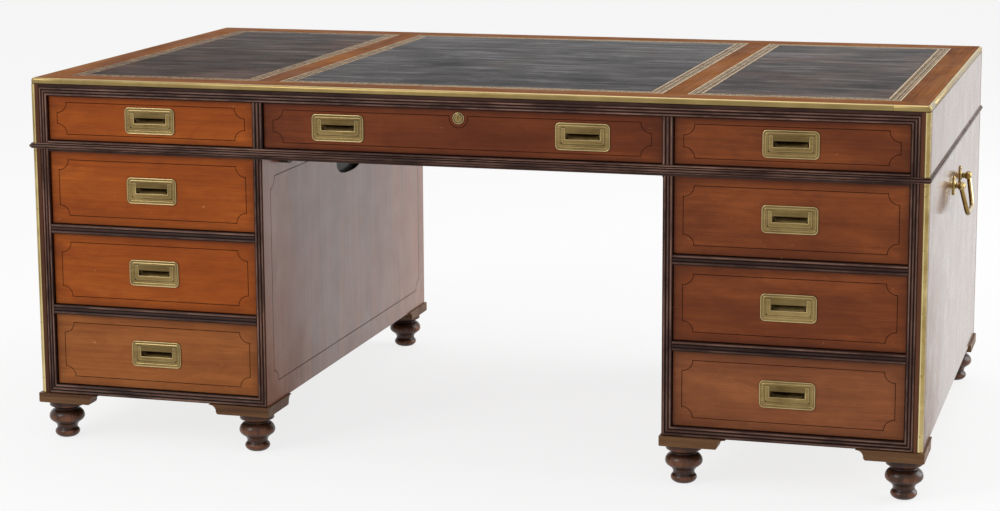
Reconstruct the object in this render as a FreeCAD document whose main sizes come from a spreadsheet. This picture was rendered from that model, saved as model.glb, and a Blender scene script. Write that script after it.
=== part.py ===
import FreeCAD, Part
import math
import os
import Sketcher

# A campaign desk: a top section with three frieze drawers that lifts off two pedestals of three drawers each.
# Millimetres. The origin is on the floor under the middle of the desk. +X is the desk's right as a sitter's
# visitor sees it, the drawer fronts face -Y and +Z is up.
#
# A sub-part is a body, a boolean or a compound of boards, and its Label names its file. Sizes come from the
# sheet through Size, which carries a number together with the sheet formula it stands for.

# Driving sizes in millimetres, and one angle in degrees. Each is written here once; the sheet below says what
# it is and the rest of the file reads it from the sheet.

# The whole desk.
DESK_WIDTH = 1829
DESK_DEPTH = 1050
DESK_HEIGHT = 762
FOOT_HEIGHT = 80
BRACKET_HEIGHT = 20

# Pedestals and their drawer openings.
PEDESTAL_WIDTH = 505
RAIL_HEIGHT = 20
UPPER_EXTRA = 2
BOARD_THICK = 20
DUST_THICK = 12
GUIDE_HEIGHT = 30

# Reeded frames.
FRAME_THICK = 20
BRASS_LEG = 10
BRASS_ROUND = 8
PLAIN_BAND = 8
REEDING = 18
MID_STILE = 22
REED_SINK = 2
REED_RISE = 1.4
REED_MARGIN = 1
FRONT_RECESS = 8

# Top section.
FRIEZE_OPENING = 92
FRIEZE_REED = 6
WAIST_LOW = 5
WAIST_HIGH = 11
WAIST_PROUD = 4.5
TOP_RAIL = 24
SUB_TOP_THICK = 20
EDGE_HIGH = 12
EDGE_WIDE = 18
EDGE_NOSE = 5
EDGE_UNDER = 2.5
EDGE_CORNER = 70
PLAN_ROUND = 10
LEATHER_MARGIN = 62
LEATHER_BAR = 46
LEATHER_THICK = 1.5

# Drawers.
DRAWER_GAP = 1
RUNNER_GAP = 0.3
DRAWER_SIDE = 12
DRAWER_FLOOR = 8
DRAWER_LIFT = 6
DRAWER_DEPTH = 640
PEDESTAL_HEADROOM = 28
FRIEZE_HEADROOM = 20

# Recessed handles.
PLATE_LAP = 7.5
PLATE_BORDER = 7.25
PLATE_ROUND = 9.5
PLATE_THICK = 2.5
CUP_END = 1.2
CUP_ROOF = 2.4
CUP_FOOT = 5
CUP_DEPTH = 12
BAIL_HALF = 42.5
BAIL_ARM = 8
BAIL_BAR = 9.2
BAIL_THICK = 4.2
BAIL_DROP = 29.2
PIVOT_RISE = 14.5
PIN_RADIUS = 1.3
PIN_REACH = 3
BAIL_PLAY = 0.3
BAIL_BED = 0.5
BAIL_ROUND = 4
FINGER_GAP = 11.5
WELL_INSET = 1
CUP_WALL = 2.5
BAIL_SET_BACK = 0.1
CENTRE_HANDLE_INSET = 157.5

# Brackets and feet.
BRACKET_REACH = 127
BRACKET_DEPTH = 30
BRACKET_PROUD = 4
BRACKET_SHORTER = 19
BRACKET_EDGE = 3
FOOT_INSET = 38
FOOT_BULB = 37
FOOT_COLLAR = 35.5
FOOT_COVE = 25
FOOT_NECK = 21
FOOT_TOE = 26
FOOT_SOLE = 16
FOOT_PAD = 76
SPIGOT_RADIUS = 12
SPIGOT_COVER = 1.5
SPIGOT_PLAY = 0.1
PEG_RADIUS = 9
PEG_COVER = 4
PEG_PLAY = 0.6
PEG_INSET = 145

# Carrying handles.
CARRY_BELOW = 72
CARRY_REACH = 17
KNUCKLE_GAP = 0.5
CARRY_ARM = 80
CARRY_DROP = 71
CARRY_ROD = 5
CARRY_BEND = 18
CARRY_BALL = 7.5
CARRY_PIN = 3
KNUCKLE_RADIUS = 8
KNUCKLE_WIDTH = 12
CARRY_LEAN = 11
PIN_PLAY = 0.1
POST_PLATE_HALF = 29
POST_PLATE_SIDE = 12
POST_PLATE_NECK = 4
POST_PLATE_THICK = 3
POST_COLLAR = 9.5
POST_STEM = 5.5

# Hand holds on the kneehole sides, and cleats under the top section.
HOLD_LENGTH = 172
HOLD_HEIGHT = 64
HOLD_FLAT = 2
HOLD_DEPTH = 12
HOLD_BELOW = 77
CLEAT_LENGTH = 50
CLEAT_DROP = 22
CLEAT_THICK = 20
CLEAT_GAP = 0.5
CLEAT_PLACE = 107

# Lock of the centre drawer.
LOCK_WIDTH = 60
LOCK_HEIGHT = 40
LOCK_DEPTH = 14
LOCK_RING = 12
LOCK_RING_PROUD = 2
LOCK_BARREL = 9
LOCK_CENTRE_DROP = 17
LOCK_WALL = 2
PLUG_RADIUS = 6
PLUG_REACH = 1.4
PLUG_PROUD = 0.5
KEY_SLOT = 1.6
KEY_SLOT_DEPTH = 5
PLUG_PLAY = 0.1
BOLT_WIDTH = 20
BOLT_THICK = 4
BOLT_LENGTH = 26
BOLT_PLAY = 0.2
MORTISE_DEPTH = 10
MORTISE_PLAY = 1

Vector = FreeCAD.Vector

document = FreeCAD.newDocument("campaign_desk")
sheet = document.addObject("Spreadsheet::Sheet", "sizes")
sub_parts = []

LEFT, RIGHT = -1, 1
FRONT, BACK = -1, 1
CORNERS = [(LEFT, FRONT), (RIGHT, FRONT), (RIGHT, BACK), (LEFT, BACK)]
TOUCH = 0.01


class Size:
    """A length that carries its number and the sheet formula that gives it."""

    def __init__(self, value, formula):
        self.value = float(value)
        self.formula = formula

    def __add__(self, other):
        other = size_of(other)
        return Size(self.value + other.value, f"({self.formula} + {other.formula})")

    def __sub__(self, other):
        other = size_of(other)
        return Size(self.value - other.value, f"({self.formula} - {other.formula})")

    def __mul__(self, other):
        other = size_of(other)
        return Size(self.value * other.value, f"({self.formula} * {other.formula})")

    def __truediv__(self, other):
        other = size_of(other)
        return Size(self.value / other.value, f"({self.formula} / {other.formula})")

    def __radd__(self, other):
        return size_of(other) + self

    def __rsub__(self, other):
        return size_of(other) - self

    def __rmul__(self, other):
        return size_of(other) * self

    def __neg__(self):
        return size_of(0) - self


def size_of(number):
    """The number as a Size, if it isn't one yet."""
    if isinstance(number, Size):
        return number
    formula = f"{number:g}" if number >= 0 else f"(0 - {-number:g})"
    return Size(number, formula)


def driving(alias, value, meaning):
    """Write one driving dimension into the sheet and return it as a Size."""
    row = driving.row
    sheet.set(f"A{row}", alias)
    sheet.set(f"B{row}", str(value))
    sheet.set(f"C{row}", meaning)
    sheet.setAlias(f"B{row}", alias)
    driving.row += 1
    return Size(value, f"sizes.{alias}")


driving.row = 1

# The whole desk.
desk_width = driving("desk_width", DESK_WIDTH, "overall width, six feet")
desk_depth = driving("desk_depth", DESK_DEPTH, "overall depth")
desk_height = driving("desk_height", DESK_HEIGHT, "overall height, thirty inches")
foot_height = driving("foot_height", FOOT_HEIGHT, "turned feet, floor to bracket")
bracket_height = driving("bracket_height", BRACKET_HEIGHT, "brackets between the feet and the pedestals")

# Pedestals and their drawer openings.
pedestal_width = driving("pedestal_width", PEDESTAL_WIDTH, "width of one pedestal")
rail_height = driving("rail_height", RAIL_HEIGHT, "reeded rails between drawers")
upper_extra = driving("upper_extra", UPPER_EXTRA, "how much taller a pedestal's top drawer opening is")
board_thick = driving("board_thick", BOARD_THICK, "case sides, floors and drawer fronts")
dust_thick = driving("dust_thick", DUST_THICK, "dust boards and back panels")
guide_height = driving("guide_height", GUIDE_HEIGHT, "drawer guides beside the runners")

# Reeded frames.
frame_thick = driving("frame_thick", FRAME_THICK, "depth of stiles and rails, front to back")
brass_leg = driving("brass_leg", BRASS_LEG, "leg of the brass corner strip")
brass_round = driving("brass_round", BRASS_ROUND, "radius of the corner strip's outer edge")
plain_band = driving("plain_band", PLAIN_BAND, "plain wood beside the brass")
reeding = driving("reeding", REEDING, "three reeds on an outer stile")
mid_stile = driving("mid_stile", MID_STILE, "reeded stile between frieze drawers")
reed_sink = driving("reed_sink", REED_SINK, "valleys of the reeds below the frame's face")
reed_rise = driving("reed_rise", REED_RISE, "height of a reed above its valleys")
reed_margin = driving("reed_margin", REED_MARGIN, "flat beside the reeds on a rail")
front_recess = driving("front_recess", FRONT_RECESS, "drawer fronts and back panels behind the frame's face")

# Top section.
frieze_opening = driving("frieze_opening", FRIEZE_OPENING, "height of the frieze drawer openings")
frieze_reed = driving("frieze_reed", FRIEZE_REED, "single reed above the waist moulding")
waist_low = driving("waist_low", WAIST_LOW, "waist moulding above the split")
waist_high = driving("waist_high", WAIST_HIGH, "height of the waist moulding")
waist_proud = driving("waist_proud", WAIST_PROUD, "how far the waist moulding stands out")
top_rail = driving("top_rail", TOP_RAIL, "top rail with three reeds and a plain band")
sub_top_thick = driving("sub_top_thick", SUB_TOP_THICK, "board that closes the frieze")
edge_high = driving("edge_high", EDGE_HIGH, "height of the top's brass edging")
edge_wide = driving("edge_wide", EDGE_WIDE, "width of the brass edging seen from above")
edge_nose = driving("edge_nose", EDGE_NOSE, "upper round of the brass edging")
edge_under = driving("edge_under", EDGE_UNDER, "lower round of the brass edging")
edge_corner = driving("edge_corner", EDGE_CORNER, "legs of the brass corner pieces")
plan_round = driving("plan_round", PLAN_ROUND, "radius of the top's corners in plan")
leather_margin = driving("leather_margin", LEATHER_MARGIN, "desk edge to leather")
leather_bar = driving("leather_bar", LEATHER_BAR, "wood between two leather panels")
leather_thick = driving("leather_thick", LEATHER_THICK, "leather, and the sinking it lies in")

# Drawers.
drawer_gap = driving("drawer_gap", DRAWER_GAP, "gap round a drawer front")
runner_gap = driving("runner_gap", RUNNER_GAP, "a drawer's sides above their runners")
drawer_side = driving("drawer_side", DRAWER_SIDE, "sides and back of a drawer box")
drawer_floor = driving("drawer_floor", DRAWER_FLOOR, "bottom of a drawer box")
drawer_lift = driving("drawer_lift", DRAWER_LIFT, "drawer bottom above the lower edge of its sides")
drawer_depth = driving("drawer_depth", DRAWER_DEPTH, "drawer box behind its front")
pedestal_headroom = driving("pedestal_headroom", PEDESTAL_HEADROOM, "opening above a pedestal drawer's sides")
frieze_headroom = driving("frieze_headroom", FRIEZE_HEADROOM, "opening above a frieze drawer's sides")

# Recessed handles.
plate_lap = driving("plate_lap", PLATE_LAP, "handle plate beyond the cup's ends")
plate_border = driving("plate_border", PLATE_BORDER, "handle plate above the cup, and as far below")
plate_round = driving("plate_round", PLATE_ROUND, "corner radius of the handle plate")
plate_thick = driving("plate_thick", PLATE_THICK, "flange of the handle plate")
cup_end = driving("cup_end", CUP_END, "end walls of the cup beyond the bail's pins")
cup_roof = driving("cup_roof", CUP_ROOF, "upper wall of the cup")
cup_foot = driving("cup_foot", CUP_FOOT, "lower wall of the cup")
cup_depth = driving("cup_depth", CUP_DEPTH, "cup behind the handle plate")
bail_half = driving("bail_half", BAIL_HALF, "half the width of a flush bail")
bail_arm = driving("bail_arm", BAIL_ARM, "width of a flush bail's arm")
bail_bar = driving("bail_bar", BAIL_BAR, "height of a flush bail's grip")
bail_thick = driving("bail_thick", BAIL_THICK, "thickness of a flush bail")
bail_drop = driving("bail_drop", BAIL_DROP, "pivot to the grip's lower edge")
pivot_rise = driving("pivot_rise", PIVOT_RISE, "pivot above the plate's middle")
pin_radius = driving("pin_radius", PIN_RADIUS, "bail's pivot pins")
pin_reach = driving("pin_reach", PIN_REACH, "bail's pivot pins beyond its arms")
bail_play = driving("bail_play", BAIL_PLAY, "gap round the flush bail")
bail_bed = driving("bail_bed", BAIL_BED, "gap behind the flush bail")
bail_round = driving("bail_round", BAIL_ROUND, "lower corners of the flush bail")
finger_gap = driving("finger_gap", FINGER_GAP, "finger opening above the grip")
well_inset = driving("well_inset", WELL_INSET, "finger opening's ends inside the tongue's")
cup_wall = driving("cup_wall", CUP_WALL, "back of the cup")
bail_set_back = driving("bail_set_back", BAIL_SET_BACK, "flush bail behind the plate's face")
centre_handle_inset = driving("centre_handle_inset", CENTRE_HANDLE_INSET, "centre handles off the drawer ends")

# Brackets and feet.
bracket_reach = driving("bracket_reach", BRACKET_REACH, "bracket along the case, at its top")
bracket_depth = driving("bracket_depth", BRACKET_DEPTH, "bracket from the case's face inwards")
bracket_proud = driving("bracket_proud", BRACKET_PROUD, "bracket in front of the case")
bracket_shorter = driving("bracket_shorter", BRACKET_SHORTER, "how much shorter the bracket is at its foot")
bracket_edge = driving("bracket_edge", BRACKET_EDGE, "round of the bracket's lower outer edge")
foot_inset = driving("foot_inset", FOOT_INSET, "foot centre from the case's faces")
foot_bulb = driving("foot_bulb", FOOT_BULB, "radius of the foot's main bulb")
foot_collar = driving("foot_collar", FOOT_COLLAR, "radius of the foot's collar under the bracket")
foot_cove = driving("foot_cove", FOOT_COVE, "radius at the cove under the collar")
foot_neck = driving("foot_neck", FOOT_NECK, "radius at the neck between the bulbs")
foot_toe = driving("foot_toe", FOOT_TOE, "radius of the lower bulb")
foot_sole = driving("foot_sole", FOOT_SOLE, "radius where the foot meets the floor")
foot_pad = driving("foot_pad", FOOT_PAD, "square block over a foot")
spigot_radius = driving("spigot_radius", SPIGOT_RADIUS, "foot's spigot")
spigot_cover = driving("spigot_cover", SPIGOT_COVER, "bracket above the spigot's hole")
spigot_play = driving("spigot_play", SPIGOT_PLAY, "gap round the spigot")
peg_radius = driving("peg_radius", PEG_RADIUS, "locating pegs")
peg_cover = driving("peg_cover", PEG_COVER, "locating pegs below the top section's floor face")
peg_play = driving("peg_play", PEG_PLAY, "gap round a peg in the top section")
peg_inset = driving("peg_inset", PEG_INSET, "locating pegs from the desk's front or back")

# Carrying handles.
carry_below = driving("carry_below", CARRY_BELOW, "carrying handles' pivots below the top section")
carry_reach = driving("carry_reach", CARRY_REACH, "pivots off the case's side")
knuckle_gap = driving("knuckle_gap", KNUCKLE_GAP, "post's knuckle from the bail's end ball")
carry_arm = driving("carry_arm", CARRY_ARM, "bail's arms in front of and behind the middle")
carry_drop = driving("carry_drop", CARRY_DROP, "pivot to the middle of the grip")
carry_rod = driving("carry_rod", CARRY_ROD, "radius of the bail's rod")
carry_bend = driving("carry_bend", CARRY_BEND, "radius of the bail's corners")
carry_ball = driving("carry_ball", CARRY_BALL, "radius of the bail's end balls")
carry_pin = driving("carry_pin", CARRY_PIN, "radius of the bail's pins")
knuckle_radius = driving("knuckle_radius", KNUCKLE_RADIUS, "post's knuckle")
knuckle_width = driving("knuckle_width", KNUCKLE_WIDTH, "post's knuckle")
carry_lean = driving("carry_lean", CARRY_LEAN, "degrees the bail leans outwards at rest")
pin_play = driving("pin_play", PIN_PLAY, "gap round the pins of bails")
post_plate_half = driving("post_plate_half", POST_PLATE_HALF, "post's back plate, middle to point")
post_plate_side = driving("post_plate_side", POST_PLATE_SIDE, "post's back plate, middle to side")
post_plate_neck = driving("post_plate_neck", POST_PLATE_NECK, "post's back plate, half width at its points")
post_plate_thick = driving("post_plate_thick", POST_PLATE_THICK, "post's back plate")
post_collar = driving("post_collar", POST_COLLAR, "radius of the collar on the back plate")
post_stem = driving("post_stem", POST_STEM, "radius of the post's stem")

# Hand holds on the kneehole sides, and cleats under the top section.
hold_length = driving("hold_length", HOLD_LENGTH, "hand hold, front to back")
hold_height = driving("hold_height", HOLD_HEIGHT, "hand hold")
hold_flat = driving("hold_flat", HOLD_FLAT, "straight part of the hand hold's ends")
hold_depth = driving("hold_depth", HOLD_DEPTH, "hand hold")
hold_below = driving("hold_below", HOLD_BELOW, "middle of the hand hold below the top section")
cleat_length = driving("cleat_length", CLEAT_LENGTH, "locating cleat, front to back")
cleat_drop = driving("cleat_drop", CLEAT_DROP, "locating cleat below the top section")
cleat_thick = driving("cleat_thick", CLEAT_THICK, "locating cleat")
cleat_gap = driving("cleat_gap", CLEAT_GAP, "locating cleat from the pedestal's side")
cleat_place = driving("cleat_place", CLEAT_PLACE, "locating cleat from the desk's front or back")

# Lock of the centre drawer.
lock_width = driving("lock_width", LOCK_WIDTH, "lock case")
lock_height = driving("lock_height", LOCK_HEIGHT, "lock case")
lock_depth = driving("lock_depth", LOCK_DEPTH, "lock case")
lock_ring = driving("lock_ring", LOCK_RING, "radius of the face ring")
lock_ring_proud = driving("lock_ring_proud", LOCK_RING_PROUD, "face ring in front of the drawer")
lock_barrel = driving("lock_barrel", LOCK_BARREL, "radius of the barrel")
lock_centre_drop = driving("lock_centre_drop", LOCK_CENTRE_DROP, "plug below the drawer's upper edge")
lock_wall = driving("lock_wall", LOCK_WALL, "front wall of the lock case")
plug_radius = driving("plug_radius", PLUG_RADIUS, "key plug")
plug_reach = driving("plug_reach", PLUG_REACH, "key plug into the lock case")
plug_proud = driving("plug_proud", PLUG_PROUD, "key plug in front of the face ring")
key_slot = driving("key_slot", KEY_SLOT, "width of the key slot")
key_slot_depth = driving("key_slot_depth", KEY_SLOT_DEPTH, "depth of the key slot")
plug_play = driving("plug_play", PLUG_PLAY, "gap round the key plug")
bolt_width = driving("bolt_width", BOLT_WIDTH, "lock bolt")
bolt_thick = driving("bolt_thick", BOLT_THICK, "lock bolt")
bolt_length = driving("bolt_length", BOLT_LENGTH, "lock bolt")
bolt_play = driving("bolt_play", BOLT_PLAY, "gap round the lock bolt")
mortise_depth = driving("mortise_depth", MORTISE_DEPTH, "mortise for the bolt in the top rail")
mortise_play = driving("mortise_play", MORTISE_PLAY, "gap round the bolt in its mortise")

# Lengths that follow from the driving ones.
half_width = desk_width / 2
half_depth = desk_depth / 2
case_base = foot_height + bracket_height
outer_stile = brass_leg + plain_band + reeding
inner_stile = board_thick
opening_width = pedestal_width - outer_stile - inner_stile
kneehole = desk_width - 2 * pedestal_width
centre_width = desk_width - 2 * (outer_stile + opening_width + mid_stile)
edge_base = desk_height - edge_high
frieze_high = edge_base - top_rail
frieze_low = frieze_high - frieze_opening
floor_thick = waist_low + waist_high + frieze_reed
split_height = frieze_low - floor_thick
opening_height = (split_height - case_base - 3 * rail_height - upper_extra) / 3
lower_base = case_base + rail_height
middle_base = lower_base + opening_height + rail_height
upper_base = middle_base + opening_height + rail_height
upper_height = split_height - upper_base
case_front = frame_thick - half_depth
case_back = half_depth - frame_thick
spigot_height = bracket_height - spigot_cover - 5 * spigot_play
carry_post = carry_arm - carry_ball - knuckle_gap - knuckle_width / 2

# The sinking, the cup and the plate round a flush bail, from the plate's middle.
sinking_low = pivot_rise - bail_drop - bail_play
sinking_high = pivot_rise + bail_thick / 2 + 2 * bail_bed
bore_reach = bail_half + pin_reach + bail_play
cup_half = bore_reach + cup_end
cup_low = sinking_low - cup_foot
cup_high = sinking_high + cup_roof
plate_half = cup_half + plate_lap
plate_rise = cup_high + plate_border


# ----------------------------------------------------------------------------------------------------------
# Tools for boards, sketches and features


def bind(target, property_path, size):
    """Bind one property to the sheet formula of a size."""
    target.setExpression(property_path, size_of(size).formula)


def place(target, x, y, z):
    """Bind where an object's own origin stands."""
    bind(target, "Placement.Base.x", x)
    bind(target, "Placement.Base.y", y)
    bind(target, "Placement.Base.z", z)


def sub_part(piece, label):
    """Give a finished piece its label and list it for writing."""
    piece.Label = label
    sub_parts.append(piece)
    return piece


def board(name, low, high):
    """A straight board between two opposite corners."""
    piece = document.addObject("Part::Box", name)
    low = [size_of(amount) for amount in low]
    high = [size_of(amount) for amount in high]
    bind(piece, "Length", high[0] - low[0])
    bind(piece, "Width", high[1] - low[1])
    bind(piece, "Height", high[2] - low[2])
    place(piece, *low)
    return piece


def peg(name, radius, length, x, y, z):
    """An upright round peg whose lower end stands at x, y, z."""
    piece = document.addObject("Part::Cylinder", name)
    bind(piece, "Radius", radius)
    bind(piece, "Height", length)
    place(piece, x, y, z)
    return piece


def group(name, pieces):
    """Several solids that make up one sub-part."""
    compound = document.addObject("Part::Compound", name)
    compound.Links = pieces
    return compound


def drilled(name, solid, drills):
    """A solid with holes cut by upright cylinders."""
    cut = document.addObject("Part::Cut", name)
    cut.Base = solid
    cut.Tool = group(name + "_drills", drills)
    return cut


def from_side(side, near, far):
    """The x range between two distances from a side's outer face, low first."""
    near = size_of(near)
    far = size_of(far)
    if side == LEFT:
        return near - half_width, far - half_width
    return half_width - far, half_width - near


def new_body(name):
    """An empty body at the origin."""
    return document.addObject("PartDesign::Body", name)


def sketch_on(body, name, role, offset=0):
    """A sketch on one of the body's own origin planes, moved along the plane's normal by offset."""
    sketch = body.newObject("Sketcher::SketchObject", name)
    plane = [feature for feature in body.Origin.OriginFeatures if feature.Role == role][0]
    sketch.AttachmentSupport = [(plane, "")]
    sketch.MapMode = "FlatFace"
    bind(sketch, "AttachmentOffset.Base.z", offset)
    return sketch


def fix_point(sketch, edge, position, x, y):
    """Hold one point of a sketch at x, y, both bound to the sheet."""
    for kind, axis, amount in (("DistanceX", -2, size_of(x)), ("DistanceY", -1, size_of(y))):
        if amount.value == 0:
            sketch.addConstraint(Sketcher.Constraint("PointOnObject", edge, position, axis))
            continue
        index = sketch.addConstraint(Sketcher.Constraint(kind, -1, 1, edge, position, amount.value))
        bind(sketch, f"Constraints[{index}]", amount)


def fix_radius(sketch, edge, radius):
    """Hold the radius of a circle or an arc."""
    index = sketch.addConstraint(Sketcher.Constraint("Radius", edge, radius.value))
    bind(sketch, f"Constraints[{index}]", radius)


def arc_between(start, end, radius, turns_left):
    """The shorter arc of a radius from start to end, turning left or right on the way."""
    chord = end - start
    rise = math.sqrt(max(radius ** 2 - chord.Length ** 2 / 4, 0))
    leftwards = Vector(-chord.y, chord.x, 0).normalize()
    centre = (start + end) / 2 + leftwards * (rise if turns_left else -rise)
    first, last = (start, end) if turns_left else (end, start)
    first_angle = math.atan2(first.y - centre.y, first.x - centre.x)
    last_angle = math.atan2(last.y - centre.y, last.x - centre.x)
    if last_angle < first_angle:
        last_angle += 2 * math.pi
    return Part.ArcOfCircle(Part.Circle(centre, Vector(0, 0, 1), radius), first_angle, last_angle)


def bow_radius(tail, head, rise):
    """Radius of the arc from tail to head that stands off its chord by rise."""
    run, climb = head[0] - tail[0], head[1] - tail[1]
    rise = size_of(rise) if size_of(rise).value > 0 else -size_of(rise)
    return (run * run + climb * climb) / (8 * rise) + rise / 2


def outline(sketch, start, *steps):
    """A closed outline whose last step leads back to the start. A step (x, y) is a straight edge to there,
    (x, y, rise) is an arc that stands off its chord by rise, and (x, y, radius, turn) is an arc of a radius.
    An arc turns left where its rise or its turn is above 0."""
    ends = []
    here = [size_of(amount) for amount in start]
    corners = []
    for step in steps:
        there = [size_of(amount) for amount in step[:2]]
        tail = Vector(here[0].value, here[1].value, 0)
        head = Vector(there[0].value, there[1].value, 0)
        corners.append(here)
        if len(step) == 2:
            edge = sketch.addGeometry(Part.LineSegment(tail, head))
            ends.append((edge, 1, 2))
        else:
            turns_left = size_of(step[-1]).value > 0
            radius = size_of(step[2]) if len(step) == 4 else bow_radius(here, there, step[2])
            edge = sketch.addGeometry(arc_between(tail, head, radius.value, turns_left))
            ends.append((edge, 1, 2) if turns_left else (edge, 2, 1))
            fix_radius(sketch, edge, radius)
        here = there
    for (edge, tail_end, _), (previous, _, head_end), corner in zip(ends, ends[-1:] + ends[:-1], corners):
        sketch.addConstraint(Sketcher.Constraint("Coincident", previous, head_end, edge, tail_end))
        fix_point(sketch, edge, tail_end, *corner)


def rectangle(sketch, x_low, y_low, x_high, y_high):
    """A rectangle between two corners."""
    outline(sketch, (x_low, y_low), (x_high, y_low), (x_high, y_high), (x_low, y_high), (x_low, y_low))


def rounded_rectangle(sketch, half_x, half_y, radius, x=0, y=0):
    """A rectangle with round corners about x, y."""
    west, east = size_of(x) - half_x, size_of(x) + half_x
    south, north = size_of(y) - half_y, size_of(y) + half_y
    outline(
        sketch,
        (west + radius, south),
        (east - radius, south),
        (east, south + radius, radius, 1),
        (east, north - radius),
        (east - radius, north, radius, 1),
        (west + radius, north),
        (west, north - radius, radius, 1),
        (west, south + radius),
        (west + radius, south, radius, 1),
    )


def circle(sketch, x, y, radius):
    """A circle about x, y."""
    x, y, radius = size_of(x), size_of(y), size_of(radius)
    edge = sketch.addGeometry(Part.Circle(Vector(x.value, y.value, 0), Vector(0, 0, 1), radius.value))
    fix_point(sketch, edge, 3, x, y)
    fix_radius(sketch, edge, radius)


def feature(body, kind, name, sketch, length, reverse=False):
    """A pad or a pocket from a sketch."""
    made = body.newObject(f"PartDesign::{kind}", name)
    made.Profile = sketch
    made.Reversed = reverse
    bind(made, "Length", length)
    return made


def pad(body, name, sketch, length, reverse=False):
    """Material along the sketch's normal, or against it."""
    return feature(body, "Pad", name, sketch, length, reverse)


def pocket(body, name, sketch, length, reverse=False):
    """Material taken away against the sketch's normal, or along it."""
    return feature(body, "Pocket", name, sketch, length, reverse)


def revolve(body, name, sketch):
    """A full turn of the sketch about its own vertical axis."""
    made = body.newObject("PartDesign::Revolution", name)
    made.Profile = sketch
    made.ReferenceAxis = (sketch, ["V_Axis"])
    made.Angle = 360
    return made


def fillet(body, name, base, radius, wanted):
    """Round the edges of base whose middle point passes the test."""
    document.recompute()
    chosen = []
    for index, edge in enumerate(base.Shape.Edges, start=1):
        middle = edge.valueAt((edge.FirstParameter + edge.LastParameter) / 2)
        if wanted(edge, middle):
            chosen.append(f"Edge{index}")
    made = body.newObject("PartDesign::Fillet", name)
    made.Base = (base, chosen)
    bind(made, "Radius", radius)
    return made


# ----------------------------------------------------------------------------------------------------------
# Reeded stiles and rails


def reeds(start, pitch, turn, along_x):
    """Steps for three reeds side by side from a valley, along the sketch's x or y axis."""
    x, y = size_of(start[0]), size_of(start[1])
    steps = []
    for count in (1, 2, 3):
        reach = pitch * count
        point = (x + reach, y) if along_x else (x, y + reach)
        steps.append((*point, turn * reed_rise))
    return steps


def outer_stile_body(name, side, end, low, high):
    """An outer stile: a rabbet for the corner brass, a plain band and three reeds. side and end name the
    corner of the desk that it stands at."""
    body = new_body(name)
    sketch = sketch_on(body, name + "_section", "XY_Plane")
    inward, deeper = -side, -end
    valley = deeper * reed_sink
    first_reed = inward * (brass_leg + plain_band)
    outline(
        sketch,
        (0, deeper * brass_leg),
        (inward * brass_leg, deeper * brass_leg),
        (inward * brass_leg, 0),
        (first_reed, 0),
        (first_reed, valley),
        *reeds((first_reed, valley), inward * reeding / 3, side * end, along_x=True),
        (inward * outer_stile, deeper * frame_thick),
        (0, deeper * frame_thick),
        (0, deeper * brass_leg),
    )
    pad(body, name + "_length", sketch, high - low)
    place(body, side * half_width, end * half_depth, low)
    return body


def reeded_stile(name, end, x_middle, width, low, high):
    """A narrow upright with three reeds between two flats."""
    body = new_body(name)
    sketch = sketch_on(body, name + "_section", "XY_Plane")
    deeper = -end
    valley = deeper * reed_sink
    half = width / 2
    pitch = (width - 2 * reed_margin) / 3
    outline(
        sketch,
        (-half, valley),
        (reed_margin - half, valley),
        *reeds((reed_margin - half, valley), pitch, -end, along_x=True),
        (half, valley),
        (half, deeper * frame_thick),
        (-half, deeper * frame_thick),
        (-half, valley),
    )
    pad(body, name + "_length", sketch, high - low)
    place(body, x_middle, end * half_depth, low)
    return body


def rail_body(name, end, x_low, x_high, z_low, *face):
    """A rail along X whose section is face, a list of outline steps over its front from bottom to top."""
    body = new_body(name)
    sketch = sketch_on(body, name + "_section", "YZ_Plane")
    deeper = -end
    top = face[-1][1]
    outline(
        sketch,
        (deeper * frame_thick, 0),
        *face,
        (deeper * frame_thick, top),
        (deeper * frame_thick, 0),
    )
    pad(body, name + "_length", sketch, x_high - x_low)
    place(body, x_low, end * half_depth, z_low)
    return body


def drawer_rail(name, end, x_low, x_high, z_low):
    """A rail with three reeds between two flats."""
    valley = -end * reed_sink
    pitch = (rail_height - 2 * reed_margin) / 3
    return rail_body(
        name, end, x_low, x_high, z_low,
        (valley, 0),
        (valley, reed_margin),
        *reeds((valley, reed_margin), pitch, end, along_x=False),
        (valley, rail_height),
    )


def frieze_bottom_rail(name, end, x_low, x_high):
    """The top section's bottom rail: flat behind the waist moulding, with one reed above it."""
    valley = -end * reed_sink
    flat = waist_low + waist_high
    return rail_body(
        name, end, x_low, x_high, split_height,
        (size_of(0), 0),
        (size_of(0), flat),
        (valley, flat),
        (valley, floor_thick, end * reed_rise),
    )


def frieze_top_rail(name, end, x_low, x_high):
    """The top section's top rail: three reeds and a plain band above them."""
    valley = -end * reed_sink
    return rail_body(
        name, end, x_low, x_high, frieze_high,
        (valley, 0),
        *reeds((valley, 0), reeding / 3, end, along_x=False),
        (size_of(0), reeding),
        (size_of(0), top_rail),
    )


# ----------------------------------------------------------------------------------------------------------
# Pedestals


def kneehole_side(name, side):
    """A pedestal's side at the kneehole, with a hand hold sunk into its outer face."""
    body = new_body(name)
    plan = sketch_on(body, name + "_face", "YZ_Plane")
    rectangle(plan, case_front, case_base, case_back, split_height)
    pad(body, name + "_board", plan, board_thick, reverse=side == LEFT)
    hold = sketch_on(body, name + "_hold_outline", "YZ_Plane")
    hold_round = (hold_height - hold_flat) / 2
    rounded_rectangle(hold, hold_length / 2, hold_height / 2, hold_round, 0, split_height - hold_below)
    pocket(body, name + "_hold", hold, hold_depth, reverse=side == RIGHT)
    place(body, side * kneehole / 2, 0, 0)
    return body


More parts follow.
